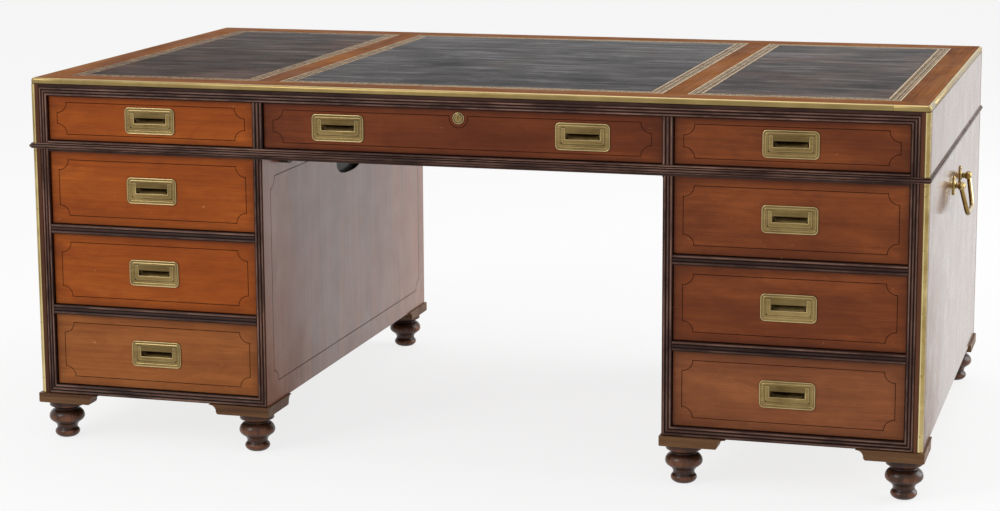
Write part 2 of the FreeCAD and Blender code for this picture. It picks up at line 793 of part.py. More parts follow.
def pedestal_case(word, side):
    """One pedestal's carcase as separate boards."""
    inner = pedestal_width - board_thick
    outer_low, outer_high = from_side(side, 0, board_thick)
    low, high = from_side(side, board_thick, inner)
    guide_low, guide_high = from_side(side, board_thick, outer_stile)
    panel_low, panel_high = from_side(side, outer_stile, pedestal_width - inner_stile)
    name = f"{word}_case"
    pieces = [
        board(
            name + "_outer_side",
            (outer_low, case_front, case_base),
            (outer_high, case_back, split_height),
        ),
        kneehole_side(name + "_kneehole_side", side),
        board(name + "_floor", (low, case_front, case_base), (high, case_back, lower_base)),
        board(
            name + "_back_panel",
            (panel_low, case_back, lower_base),
            (panel_high, half_depth - front_recess, split_height),
        ),
    ]
    for level, base in (("middle", middle_base), ("upper", upper_base)):
        pieces.append(
            board(f"{name}_{level}_dust_board", (low, case_front, base - dust_thick), (high, case_back, base))
        )
    guide_back = case_front + drawer_depth
    for level, base in (("lower", lower_base), ("middle", middle_base), ("upper", upper_base)):
        guide = board(
            f"{name}_{level}_guide",
            (guide_low, case_front, base),
            (guide_high, guide_back, base + guide_height),
        )
        pieces.append(guide)
    lid_front = front_recess + board_thick + drawer_gap - half_depth
    lid = board(
        name + "_lid_blank",
        (low, lid_front, split_height - board_thick),
        (high, case_back, split_height),
    )
    drills = [
        peg(f"{name}_drill_{end}", peg_radius, board_thick, pedestal_middle(side), end_place(end), lid_base())
        for end in (FRONT, BACK)
    ]
    pieces.append(drilled(name + "_lid", lid, drills))
    return sub_part(group(name, pieces), name)


def lid_base():
    """Underside of a pedestal's lid."""
    return split_height - board_thick


def pedestal_middle(side):
    """X of a pedestal's middle."""
    return side * (half_width - pedestal_width / 2)


def end_place(end):
    """Y of the locating pegs in front of or behind the middle."""
    return end * (half_depth - peg_inset)


def pedestal_frame(word, side, end):
    """Reeded stiles and rails of one pedestal, on its front or its back."""
    x_low, x_high = from_side(side, outer_stile, pedestal_width - inner_stile)
    stile_middle = side * (half_width - pedestal_width + inner_stile / 2)
    pieces = [
        outer_stile_body(word + "_outer_stile", side, end, case_base, split_height),
        reeded_stile(word + "_inner_stile", end, stile_middle, inner_stile, case_base, split_height),
        drawer_rail(word + "_base_rail", end, x_low, x_high, case_base),
    ]
    if end == FRONT:
        pieces.append(drawer_rail(word + "_middle_rail", end, x_low, x_high, middle_base - rail_height))
        pieces.append(drawer_rail(word + "_upper_rail", end, x_low, x_high, upper_base - rail_height))
    return pieces


def corner_strip(name, side, end, low, high):
    """A solid brass strip let into an outer vertical edge."""
    body = new_body(name)
    sketch = sketch_on(body, name + "_section", "XY_Plane")
    inward, deeper = -side, -end
    outline(
        sketch,
        (0, deeper * brass_round),
        (inward * brass_round, 0, brass_round, side * end),
        (inward * brass_leg, 0),
        (inward * brass_leg, deeper * brass_leg),
        (0, deeper * brass_leg),
        (0, deeper * brass_round),
    )
    pad(body, name + "_length", sketch, high - low)
    place(body, side * half_width, end * half_depth, low)
    return body


def corner_strips(label, low, high):
    """Brass strips on the desk's four outer edges, from low to high."""
    strips = [
        corner_strip(f"{label}_{index}", side, end, low, high)
        for index, (side, end) in enumerate(CORNERS, start=1)
    ]
    sub_part(group(label, strips), label)


def bracket_profile(sketch, along, turn):
    """Elevation of a bracket: square at its outer end and an ogee at the other, lying along one axis."""
    height = bracket_height
    toe = bracket_reach - bracket_shorter
    outline(
        sketch,
        (-along * bracket_proud, bracket_edge),
        (along * (bracket_edge - bracket_proud), 0, bracket_edge, turn),
        (along * toe, 0),
        (along * (toe + bracket_shorter / 5), height * 0.4, turn * 1.3),
        (along * bracket_reach, height * 0.95, -turn * 3.8),
        (along * bracket_reach, height),
        (-along * bracket_proud, height),
        (-along * bracket_proud, bracket_edge),
    )


def plinth_bracket(name, x_corner, y_corner, inward, deeper):
    """A bracket under one corner of a pedestal: two shaped arms and the block that takes a foot's spigot."""
    body = new_body(name)
    arm_depth = bracket_depth + bracket_proud
    front = sketch_on(body, name + "_front_outline", "XZ_Plane", deeper * bracket_proud)
    bracket_profile(front, inward, inward)
    pad(body, name + "_front_arm", front, arm_depth, reverse=deeper > 0)
    flank = sketch_on(body, name + "_side_outline", "YZ_Plane", -inward * bracket_proud)
    bracket_profile(flank, deeper, deeper)
    pad(body, name + "_side_arm", flank, arm_depth, reverse=inward < 0)
    block = sketch_on(body, name + "_block_outline", "XY_Plane")
    rectangle(block, *ordered(inward, deeper))
    pad(body, name + "_block", block, bracket_height)
    hole = sketch_on(body, name + "_hole_outline", "XY_Plane")
    circle(hole, inward * foot_inset, deeper * foot_inset, spigot_radius + spigot_play)
    pocket(body, name + "_hole", hole, spigot_height + 5 * spigot_play, reverse=True)
    place(body, x_corner, y_corner, foot_height)
    return body


def ordered(inward, deeper):
    """Corners of a foot's square block, low values first."""
    across = sorted((size_of(0), inward * foot_pad), key=lambda size: size.value)
    along = sorted((size_of(0), deeper * foot_pad), key=lambda size: size.value)
    return across[0], along[0], across[1], along[1]


def turned_foot(name, x, y):
    """A turned foot: a low toe, a hollow neck, the main bulb and a flared collar, with a spigot on top."""
    body = new_body(name)
    sketch = sketch_on(body, name + "_profile", "XZ_Plane")
    bulb_end = foot_bulb - 7.5
    outline(
        sketch,
        (0, 0),
        (foot_sole, 0),
        (foot_toe, 0.13 * foot_height, 2.8),
        (foot_neck + 1.5, 0.215 * foot_height, 0.9),
        (foot_neck, 0.245 * foot_height),
        (bulb_end, 0.415 * foot_height, -2.2),
        (bulb_end + 1.2, 0.425 * foot_height),
        (foot_bulb, 0.565 * foot_height, 1.7),
        (foot_cove + 1, 0.74 * foot_height, 3.1),
        (foot_cove, 0.76 * foot_height),
        (foot_collar, 0.85 * foot_height, -1.8),
        (foot_collar, foot_height),
        (spigot_radius, foot_height),
        (spigot_radius, foot_height + spigot_height),
        (0, foot_height + spigot_height),
        (0, 0),
    )
    revolve(body, name + "_turning", sketch)
    place(body, x, y, 0)
    return body


def feet_and_brackets():
    """Brackets and feet under the four corners of both pedestals."""
    feet = []
    brackets = []
    for side in (LEFT, RIGHT):
        for end in (FRONT, BACK):
            for inward, face in ((-side, half_width), (side, half_width - pedestal_width)):
                number = len(feet) + 1
                x_corner = side * face
                y_corner = end * half_depth
                deeper = -end
                brackets.append(plinth_bracket(f"bracket_{number}", x_corner, y_corner, inward, deeper))
                x_foot = x_corner + inward * foot_inset
                y_foot = y_corner + deeper * foot_inset
                feet.append(turned_foot(f"foot_{number}", x_foot, y_foot))
    sub_part(group("plinth_brackets", brackets), "plinth_brackets")
    sub_part(group("turned_feet", feet), "turned_feet")


def locating_pegs():
    """Pegs on the pedestals that enter the top section."""
    length = board_thick + floor_thick - peg_cover
    pegs = [
        peg(f"peg_{side}_{end}", peg_radius, length, pedestal_middle(side), end_place(end), lid_base())
        for side, end in CORNERS
    ]
    sub_part(group("locating_pegs", pegs), "locating_pegs")


# ----------------------------------------------------------------------------------------------------------
# Carrying handles


def handle_post(name, side, y):
    """A post of a carrying handle: back plate with two points, stem and bored knuckle, standing out along +X
    and turned half round for the left side."""
    body = new_body(name)
    plate = sketch_on(body, name + "_plate_outline", "YZ_Plane")
    point = post_plate_half
    shoulder = 0.76 * post_plate_half
    waist = 0.38 * post_plate_half
    neck = post_plate_neck
    flank = post_plate_side
    outline(
        plate,
        (0, -point),
        (neck, -shoulder, 1.2),
        (flank, -waist, -1.6),
        (flank, waist, 3.5),
        (neck, shoulder, -1.6),
        (0, point, 1.2),
        (-neck, shoulder, 1.2),
        (-flank, waist, -1.6),
        (-flank, -waist, 3.5),
        (-neck, -shoulder, -1.6),
        (0, -point, 1.2),
    )
    pad(body, name + "_plate", plate, post_plate_thick)
    collar = sketch_on(body, name + "_collar_outline", "YZ_Plane")
    circle(collar, 0, 0, post_collar)
    pad(body, name + "_collar", collar, 2 * post_plate_thick)
    stem = sketch_on(body, name + "_stem_outline", "YZ_Plane")
    circle(stem, 0, 0, post_stem)
    pad(body, name + "_stem", stem, carry_reach - carry_pin - pin_play)
    knuckle = sketch_on(body, name + "_knuckle_outline", "XZ_Plane", knuckle_width / 2)
    circle(knuckle, carry_reach, 0, knuckle_radius)
    pad(body, name + "_knuckle", knuckle, knuckle_width, reverse=True)
    bore = sketch_on(body, name + "_bore_outline", "XZ_Plane", knuckle_width / 2)
    circle(bore, carry_reach, 0, carry_pin + pin_play)
    pocket(body, name + "_bore", bore, knuckle_width)
    place(body, side * half_width, y, split_height - carry_below)
    body.setExpression("Placement.Rotation.Angle", "180" if side == LEFT else "0")
    return body


def carrying_bail(name, side):
    """A heavy bail that hangs from the two knuckles and leans a little outwards. Its own frame has the pivot
    axis along Y through the origin and the grip below."""
    body = new_body(name)
    path = sketch_on(body, name + "_path", "YZ_Plane")
    bend = carry_bend
    arm, drop = carry_arm, carry_drop
    points = [
        (-arm, 0),
        (-arm, bend - drop),
        (bend - arm, -drop),
        (arm - bend, -drop),
        (arm, bend - drop),
        (arm, 0),
    ]
    edges = []
    for index, (tail, head) in enumerate(zip(points, points[1:])):
        tail = [size_of(amount) for amount in tail]
        head = [size_of(amount) for amount in head]
        start = Vector(tail[0].value, tail[1].value, 0)
        finish = Vector(head[0].value, head[1].value, 0)
        if index in (1, 3):
            edge = path.addGeometry(arc_between(start, finish, bend.value, True))
            fix_radius(path, edge, bend)
        else:
            edge = path.addGeometry(Part.LineSegment(start, finish))
        fix_point(path, edge, 1, *tail)
        fix_point(path, edge, 2, *head)
        edges.append(edge)
    section = sketch_on(body, name + "_section", "XY_Plane")
    circle(section, 0, -arm, carry_rod)
    rod = body.newObject("PartDesign::AdditivePipe", name + "_rod")
    rod.Profile = section
    rod.Spine = (path, [f"Edge{index + 1}" for index in range(len(edges))])
    for end in (FRONT, BACK):
        ball = body.newObject("PartDesign::AdditiveSphere", f"{name}_ball_{end}")
        bind(ball, "Radius", carry_ball)
        bind(ball, "Placement.Base.y", end * carry_arm)
        pin = sketch_on(body, f"{name}_pin_outline_{end}", "XZ_Plane", -end * carry_arm)
        circle(pin, 0, 0, carry_pin)
        reach = carry_arm - carry_post + knuckle_width / 2
        pad(body, f"{name}_pin_{end}", pin, reach, reverse=end == FRONT)
    place(body, side * (half_width + carry_reach), 0, split_height - carry_below)
    body.Placement.Rotation = FreeCAD.Rotation(Vector(0, -side, 0), carry_lean.value)
    bind(body, "Placement.Rotation.Angle", carry_lean)
    return sub_part(body, name)


def carrying_handles():
    """Posts and bails on the outer sides of both pedestals."""
    posts = [
        handle_post(f"post_{side}_{end}", side, end * carry_post)
        for side, end in CORNERS
    ]
    sub_part(group("carrying_handle_posts", posts), "carrying_handle_posts")
    carrying_bail("left_carrying_bail", LEFT)
    carrying_bail("right_carrying_bail", RIGHT)


# ----------------------------------------------------------------------------------------------------------
# Top section


def top_case():
    """The top section's carcase as separate boards."""
    low = board_thick - half_width
    high = half_width - board_thick
    floor = board("top_floor_blank", (low, case_front, split_height), (high, case_back, frieze_low))
    drill = peg_radius + peg_play
    drills = [
        peg(f"top_drill_{side}_{end}", drill, floor_thick, pedestal_middle(side), end_place(end),
            split_height)
        for side, end in CORNERS
    ]
    pieces = [
        drilled("top_floor", floor, drills),
        board("top_sub_top", (low, case_front, edge_base - sub_top_thick), (high, case_back, edge_base)),
    ]
    guide_back = case_front + drawer_depth
    partition_high = edge_base - sub_top_thick
    panel_back = half_depth - front_recess
    for side in (LEFT, RIGHT):
        end_low, end_high = from_side(side, 0, board_thick)
        pieces.append(
            board(f"top_end_{side}", (end_low, case_front, split_height), (end_high, case_back, edge_base))
        )
        wall = outer_stile + opening_width
        wall_low, wall_high = from_side(side, wall, wall + mid_stile)
        pieces.append(
            board(
                f"top_partition_{side}",
                (wall_low, case_front, frieze_low),
                (wall_high, case_back, partition_high),
            )
        )
        guide_low, guide_high = from_side(side, board_thick, outer_stile)
        pieces.append(
            board(
                f"top_guide_{side}",
                (guide_low, case_front, frieze_low),
                (guide_high, guide_back, frieze_low + guide_height),
            )
        )
        panel_low, panel_high = from_side(side, outer_stile, wall)
        pieces.append(
            board(
                f"top_back_panel_{side}",
                (panel_low, case_back, frieze_low),
                (panel_high, panel_back, frieze_high),
            )
        )
    pieces.append(
        board(
            "top_back_panel_centre",
            (-centre_width / 2, case_back, frieze_low),
            (centre_width / 2, panel_back, frieze_high),
        )
    )
    sub_part(group("top_case", pieces), "top_case")


def top_frame(label, end):
    """Reeded frame of the top section, on its front or its back."""
    x_low = outer_stile - half_width
    x_high = half_width - outer_stile
    stile_middle = centre_width / 2 + mid_stile / 2
    rail = frieze_top_rail(label + "_top_rail", end, x_low, x_high)
    if end == FRONT:
        rail = mortised_rail(label, rail)
    pieces = [
        outer_stile_body(label + "_left_stile", LEFT, end, split_height, edge_base),
        outer_stile_body(label + "_right_stile", RIGHT, end, split_height, edge_base),
        reeded_stile(label + "_left_mid_stile", end, -stile_middle, mid_stile, frieze_low, frieze_high),
        reeded_stile(label + "_right_mid_stile", end, stile_middle, mid_stile, frieze_low, frieze_high),
        frieze_bottom_rail(label + "_bottom_rail", end, x_low, x_high),
        rail,
    ]
    sub_part(group(label, pieces), label)


def bolt_front():
    """Y of the lock bolt's front face."""
    return front_recess + board_thick - lock_depth + lock_wall - half_depth


def mortised_rail(label, rail):
    """The front's top rail with the mortise that takes the lock bolt."""
    half = bolt_width / 2 + mortise_play
    mortise = board(
        label + "_mortise",
        (-half, bolt_front() - mortise_play, frieze_high),
        (half, bolt_front() + bolt_thick + mortise_play, frieze_high + mortise_depth),
    )
    cut = document.addObject("Part::Cut", label + "_mortised_rail")
    cut.Base = rail
    cut.Tool = mortise
    return cut


def waist_strip(name, role, length, reverse):
    """A half-round strip. Its section lies on the given plane and bulges towards the sketch's -x."""
    body = new_body(name)
    sketch = sketch_on(body, name + "_section", role)
    outline(sketch, (0, 0), (0, waist_high, -waist_proud), (0, 0))
    pad(body, name + "_length", sketch, length, reverse)
    return body


def waist_moulding():
    """The dark half-round moulding round the foot of the top section."""
    low = split_height + waist_low
    long = desk_width + 2 * waist_proud
    front = waist_strip("waist_front", "YZ_Plane", long, False)
    place(front, -long / 2, -half_depth, low)
    back = waist_strip("waist_back", "YZ_Plane", long, True)
    place(back, -long / 2, half_depth, low)
    back.setExpression("Placement.Rotation.Angle", "180")
    left = waist_strip("waist_left", "XZ_Plane", desk_depth, False)
    place(left, -half_width, half_depth, low)
    right = waist_strip("waist_right", "XZ_Plane", desk_depth, True)
    place(right, half_width, half_depth, low)
    right.setExpression("Placement.Rotation.Angle", "180")
    sub_part(group("waist_moulding", [front, back, left, right]), "waist_moulding")


def leather_fields():
    """The three fields of the top as x_low, y_low, x_high, y_high."""
    edge = half_width - leather_margin
    bar_middle = centre_width / 2 + mid_stile / 2
    south = leather_margin - half_depth
    north = half_depth - leather_margin
    return [
        ("left", -edge, south, -bar_middle - leather_bar / 2, north),
        ("centre", leather_bar / 2 - bar_middle, south, bar_middle - leather_bar / 2, north),
        ("right", bar_middle + leather_bar / 2, south, edge, north),
    ]


def top_board():
    """The top board inside its brass edging, with three sunk fields."""
    body = new_body("top_board")
    plan = sketch_on(body, "top_board_plan", "XY_Plane")
    half_x = half_width - edge_wide
    half_y = half_depth - edge_wide
    rectangle(plan, -half_x, -half_y, half_x, half_y)
    pad(body, "top_board_thickness", plan, edge_high)
    fields = sketch_on(body, "top_board_field_outlines", "XY_Plane", edge_high)
    for _, x_low, y_low, x_high, y_high in leather_fields():
        rectangle(fields, x_low, y_low, x_high, y_high)
    pocket(body, "top_board_fields", fields, leather_thick)
    place(body, 0, 0, edge_base)
    sub_part(body, "top_board")


def leather_panels():
    """Leather laid flush into the fields."""
    base = desk_height - leather_thick
    panels = [
        board(f"{word}_leather", (x_low, y_low, base), (x_high, y_high, desk_height))
        for word, x_low, y_low, x_high, y_high in leather_fields()
    ]
    sub_part(group("leather_panels", panels), "leather_panels")


def edge_bar(name, role, length, reverse):
    """A straight length of brass edging, its nose towards the sketch's -x."""
    body = new_body(name)
    sketch = sketch_on(body, name + "_section", role)
    outline(
        sketch,
        (edge_wide, 0),
        (edge_wide, edge_high),
        (edge_nose, edge_high),
        (0, edge_high - edge_nose, edge_nose, 1),
        (0, edge_under),
        (edge_under, 0, edge_under, 1),
        (edge_wide, 0),
    )
    pad(body, name + "_length", sketch, length, reverse)
    return body


def edge_corner_piece(name, side, end):
    """A corner piece of the brass edging, round in plan."""
    body = new_body(name)
    plan = sketch_on(body, name + "_plan", "XY_Plane")
    inward, deeper = -side, -end
    outline(
        plan,
        (0, deeper * plan_round),
        (inward * plan_round, 0, plan_round, side * end),
        (inward * edge_corner, 0),
        (inward * edge_corner, deeper * edge_wide),
        (inward * edge_wide, deeper * edge_wide),
        (inward * edge_wide, deeper * edge_corner),
        (0, deeper * edge_corner),
        (0, deeper * plan_round),
    )
    blank = pad(body, name + "_blank", plan, edge_high)

    def outer(edge, middle):
        box = edge.BoundBox
        along_x = abs(middle.y) < TOUCH and box.XLength > TOUCH
        along_y = abs(middle.x) < TOUCH and box.YLength > TOUCH
        round_corner = box.XLength > TOUCH and box.YLength > TOUCH
        return box.ZLength < TOUCH and (along_x or along_y or round_corner)

    upper = fillet(body, name + "_nose", blank, edge_nose,
                   lambda edge, middle: outer(edge, middle) and middle.z > edge_high.value - TOUCH)
    fillet(body, name + "_underside", upper, edge_under,
           lambda edge, middle: outer(edge, middle) and middle.z < TOUCH)
    place(body, side * half_width, end * half_depth, edge_base)
    return body


def top_edging():
    """Brass edging round the top: four straight bars and four corner pieces."""
    long = desk_width - 2 * edge_corner
    deep = desk_depth - 2 * edge_corner
    front = edge_bar("edge_front", "YZ_Plane", long, False)
    place(front, -long / 2, -half_depth, edge_base)
    back = edge_bar("edge_back", "YZ_Plane", long, True)
    place(back, -long / 2, half_depth, edge_base)
    back.setExpression("Placement.Rotation.Angle", "180")
    left = edge_bar("edge_left", "XZ_Plane", deep, False)
    place(left, -half_width, deep / 2, edge_base)
    right = edge_bar("edge_right", "XZ_Plane", deep, True)
    place(right, half_width, deep / 2, edge_base)
    right.setExpression("Placement.Rotation.Angle", "180")
    corners = [
        edge_corner_piece(f"edge_corner_{number}", side, end)
        for number, (side, end) in enumerate(CORNERS, start=1)
    ]
    sub_part(group("top_edge_brass", [front, back, left, right, *corners]), "top_edge_brass")


def locating_cleats():
    """Half-round blocks under the top section that stop the pedestals from shifting inwards."""
    cleats = []
    half = cleat_length / 2
    for side, end in CORNERS:
        name = f"cleat_{side}_{end}"
        body = new_body(name)
        sketch = sketch_on(body, name + "_outline", "YZ_Plane")
        outline(sketch, (-half, 0), (half, 0, cleat_drop), (-half, 0))
        pad(body, name + "_block", sketch, cleat_thick, reverse=side == RIGHT)
        place(body, side * (kneehole / 2 - cleat_gap), end * (half_depth - cleat_place), split_height)
        cleats.append(body)
    sub_part(group("locating_cleats", cleats), "locating_cleats")


# ----------------------------------------------------------------------------------------------------------
# Drawers. Each drawer has a frame of its own, with the origin in the middle of its front's face.


def drawer_front(label, half_x, half_z, handles, lock):
    """A drawer front with wells for the handles' cups and, on the centre drawer, room for the lock."""
    body = new_body(label)
    face = sketch_on(body, label + "_face", "XZ_Plane")
    rectangle(face, -half_x, -half_z, half_x, half_z)
    pad(body, label + "_board", face, board_thick, reverse=True)
    wells = sketch_on(body, label + "_well_outlines", "XZ_Plane")
    for x in handles:
        rectangle(wells, x - cup_half, cup_low, x + cup_half, cup_high)
    pocket(body, label + "_wells", wells, cup_depth)
    if lock:
        barrel = sketch_on(body, label + "_barrel_outline", "XZ_Plane")
        circle(barrel, 0, half_z - lock_centre_drop, lock_barrel)
        pocket(body, label + "_barrel_hole", barrel, board_thick)
        seat = sketch_on(body, label + "_lock_outline", "XZ_Plane", -board_thick)
        rectangle(seat, -lock_width / 2, half_z - lock_height, lock_width / 2, half_z)
        pocket(body, label + "_lock_seat", seat, lock_depth, reverse=True)
    return body


def drawer_box(label, half_x, half_z, box_height):
    """Sides, back and bottom of a drawer behind its front. Its sides run just above the rail."""
    low = runner_gap - drawer_gap - half_z
    rear = board_thick + drawer_depth
    inner = half_x - drawer_side
    pieces = [
        board(label + "_left_side", (-half_x, board_thick, low), (-inner, rear, low + box_height)),
        board(label + "_right_side", (inner, board_thick, low), (half_x, rear, low + box_height)),
        board(label + "_back", (-inner, rear - drawer_side, low), (inner, rear, low + box_height)),
        board(
            label + "_bottom",
            (-inner, board_thick, low + drawer_lift),
            (inner, rear - drawer_side, low + drawer_lift + drawer_floor),
        ),
    ]
    return group(label, pieces)


def pivot_depth():
    """The flush bail's pivot behind the drawer front's face, so that the bail lies within the plate."""
    return bail_thick / 2 + bail_set_back - plate_thick


def handle_plate(name):
    """A handle plate: flange, cup, sinking for the bail and the finger well behind the grip."""
    body = new_body(name)
    flange = sketch_on(body, name + "_flange_outline", "XZ_Plane")
    rounded_rectangle(flange, plate_half, plate_rise, plate_round)
    pad(body, name + "_flange", flange, plate_thick)
    cup = sketch_on(body, name + "_cup_outline", "XZ_Plane")
    rectangle(cup, -cup_half, cup_low, cup_half, cup_high)
    pad(body, name + "_cup", cup, cup_depth, reverse=True)
    reach = bail_half + bail_play
    tongue = bail_half - bail_arm - bail_play
    low, high = sinking_low, sinking_high
    well_top = pivot_rise - bail_drop + bail_bar + finger_gap
    sinking = sketch_on(body, name + "_sinking_outline", "XZ_Plane", plate_thick)
    outline(
        sinking,
        (-reach, low),
        (reach, low),
        (reach, high),
        (tongue, high),
        (tongue, well_top),
        (-tongue, well_top),
        (-tongue, high),
        (-reach, high),
        (-reach, low),
    )
    pocket(body, name + "_sinking", sinking, bail_thick + bail_bed)
    well = sketch_on(body, name + "_well_outline", "XZ_Plane", plate_thick)
    rectangle(well, well_inset - tongue, low, tongue - well_inset, well_top)
    pocket(body, name + "_well", well, plate_thick + cup_depth - cup_wall)
    bore = sketch_on(body, name + "_bore_outline", "YZ_Plane", -bore_reach)
    circle(bore, pivot_depth(), pivot_rise, pin_radius + pin_play)
    pocket(body, name + "_bore", bore, 2 * bore_reach, reverse=True)
    return body


def flush_bail(name):
    """A flush bail. Its own frame has the pivot axis along X through the origin and the grip below."""
    body = new_body(name)
    face = sketch_on(body, name + "_outline", "XZ_Plane", bail_thick / 2)
    inner = bail_half - bail_arm
    half_thick = bail_thick / 2
    outline(
        face,
        (bail_round - bail_half, -bail_drop),
        (bail_half - bail_round, -bail_drop),
        (bail_half, bail_round - bail_drop, bail_round, 1),
        (bail_half, half_thick),
        (inner, half_thick),
        (inner, bail_bar - bail_drop),
        (-inner, bail_bar - bail_drop),
        (-inner, half_thick),
        (-bail_half, half_thick),
        (-bail_half, bail_round - bail_drop),
        (bail_round - bail_half, -bail_drop, bail_round, 1),
    )
    blank = pad(body, name + "_blank", face, bail_thick, reverse=True)
    fillet(body, name + "_round_ends", blank, half_thick * 0.99,
           lambda edge, middle: middle.z > half_thick.value - TOUCH and edge.BoundBox.XLength > TOUCH)
    for side in (LEFT, RIGHT):
        start = side * (bail_half + pin_reach)
        pin = sketch_on(body, f"{name}_pin_outline_{side}", "YZ_Plane", start)
        circle(pin, 0, 0, pin_radius)
        pad(body, f"{name}_pin_{side}", pin, pin_reach + bail_arm / 4, reverse=side == RIGHT)
    return body


def lock(x, y, z_centre, upper_edge):
    """The centre drawer's lock. Its case lies in the front's back, and its bolt rests flush with the front's
    upper edge."""
    case = new_body("lock_case")
    face = sketch_on(case, "lock_case_outline", "XZ_Plane")
    half_case = lock_width / 2
    rectangle(face, -half_case, lock_centre_drop - lock_height, half_case, lock_centre_drop)
    pad(case, "lock_case_box", face, lock_depth, reverse=True)
    barrel = sketch_on(case, "lock_barrel_outline", "XZ_Plane")
    barrel_length = board_thick - lock_depth
    circle(barrel, 0, 0, lock_barrel - plug_play)
    pad(case, "lock_barrel", barrel, barrel_length)
    ring = sketch_on(case, "lock_ring_outline", "XZ_Plane", barrel_length)
    circle(ring, 0, 0, lock_ring)
    pad(case, "lock_ring", ring, lock_ring_proud)
    bore = sketch_on(case, "lock_bore_outline", "XZ_Plane", barrel_length + lock_ring_proud)
    circle(bore, 0, 0, plug_radius + plug_play)
    pocket(case, "lock_bore", bore, barrel_length + lock_ring_proud + plug_reach + plug_play)
    channel = sketch_on(case, "lock_channel_outline", "XY_Plane", lock_centre_drop)
    half = bolt_width / 2 + bolt_play
    rectangle(channel, -half, lock_wall - bolt_play, half, lock_wall + bolt_thick + bolt_play)
    pocket(case, "lock_channel", channel, bolt_length + bolt_play)
    place(case, x, y, z_centre)
    sub_part(case, "lock_case")

    plug = new_body("lock_plug")
    plug_back = sketch_on(plug, "lock_plug_outline", "XZ_Plane", -plug_reach)
    circle(plug_back, 0, 0, plug_radius)
    plug_front = barrel_length + lock_ring_proud + plug_proud
    pad(plug, "lock_plug_round", plug_back, plug_front + plug_reach)
    key = sketch_on(plug, "lock_key_outline", "XZ_Plane", plug_front)
    key_half = plug_radius * 2 / 3
    rectangle(key, -key_slot / 2, -key_half, key_slot / 2, key_half)
    pocket(plug, "lock_key_slot", key, key_slot_depth)
    place(plug, x, y, z_centre)
    sub_part(plug, "lock_plug")

    bolt = board(
        "lock_bolt",
        (x - bolt_width / 2, y + lock_wall, upper_edge - bolt_length),
        (x + bolt_width / 2, y + lock_wall + bolt_thick, upper_edge),
    )
    sub_part(bolt, "lock_bolt")


def drawer(word, x, z_base, width, height, headroom, handles, with_lock=False):
    """One drawer: front, box, handle plates and bails. handles lists the handles' x places on the front."""
    half_x = width / 2 - drawer_gap
    half_z = height / 2 - drawer_gap
    y = front_recess - half_depth
    z = z_base + height / 2
    front = drawer_front(f"{word}_drawer_front", half_x, half_z, handles, with_lock)
    place(front, x, y, z)
    sub_part(front, f"{word}_drawer_front")
    box = drawer_box(f"{word}_drawer_box", half_x, half_z, height - headroom)
    place(box, x, y, z)
    sub_part(box, f"{word}_drawer_box")
    plates = []
    for number, handle_x in enumerate(handles, start=1):
        plate = handle_plate(f"{word}_plate_{number}")
        place(plate, x + handle_x, y, z)
        plates.append(plate)
        suffix = "" if len(handles) == 1 else ("_left", "_right")[number - 1]
        bail_label = f"{word}{suffix}_drawer_bail"
        bail = flush_bail(bail_label)
        place(bail, x + handle_x, y + pivot_depth(), z + pivot_rise)
        sub_part(bail, bail_label)
    sub_part(group(f"{word}_handle_plate", plates), f"{word}_handle_plate")
    if with_lock:
        upper_edge = z + half_z
        lock(x, y + board_thick - lock_depth, upper_edge - lock_centre_drop, upper_edge)


def all_drawers():
    """Six pedestal drawers and three frieze drawers."""
    middle_of_opening = half_width - outer_stile - opening_width / 2
    for word, side in (("left", LEFT), ("right", RIGHT)):
        x = side * middle_of_opening
        levels = [
            ("lower", lower_base, opening_height),
            ("middle", middle_base, opening_height),
            ("upper", upper_base, upper_height),
        ]
        for level, base, height in levels:
            drawer(f"{word}_{level}", x, base, opening_width, height, pedestal_headroom, [size_of(0)])
        drawer(f"{word}_frieze", x, frieze_low, opening_width, frieze_opening, frieze_headroom, [size_of(0)])
    centre_handle = centre_width / 2 - centre_handle_inset
    drawer("centre_frieze", size_of(0), frieze_low, centre_width, frieze_opening, frieze_headroom,
           [-centre_handle, centre_handle], with_lock=True)


# ----------------------------------------------------------------------------------------------------------
# The desk

document.recompute()

pedestal_case("left", LEFT)
pedestal_case("right", RIGHT)
front_frames = pedestal_frame("left_front", LEFT, FRONT) + pedestal_frame("right_front", RIGHT, FRONT)
sub_part(group("pedestal_front_frames", front_frames), "pedestal_front_frames")
back_frames = pedestal_frame("left_back", LEFT, BACK) + pedestal_frame("right_back", RIGHT, BACK)
sub_part(group("pedestal_back_frames", back_frames), "pedestal_back_frames")
corner_strips("pedestal_corner_brass", case_base, split_height)
feet_and_brackets()
locating_pegs()
carrying_handles()

top_case()
top_frame("top_front_frame", FRONT)
top_frame("top_back_frame", BACK)
corner_strips("top_corner_brass", split_height, edge_base)
waist_moulding()
top_board()
leather_panels()
top_edging()
locating_cleats()

all_drawers()

document.recompute()

failed = [
    piece.Name
    for piece in document.Objects
    if "Invalid" in piece.State or "Error" in piece.State
]
if failed:
    raise RuntimeError(f"these objects failed: {failed}")
for piece in sub_parts:
    if piece.Shape.isNull() or not piece.Shape.isValid():
        raise RuntimeError(f"{piece.Label} has no valid shape")

os.makedirs("parts", exist_ok=True)
for piece in sub_parts:
    piece.Shape.exportStep(f"parts/{piece.Label}.step")
print(len(sub_parts), "sub-parts written")
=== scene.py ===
import bpy
import bmesh
import math
from itertools import product
from mathutils import Matrix, Vector
from mathutils.geometry import tessellate_polygon


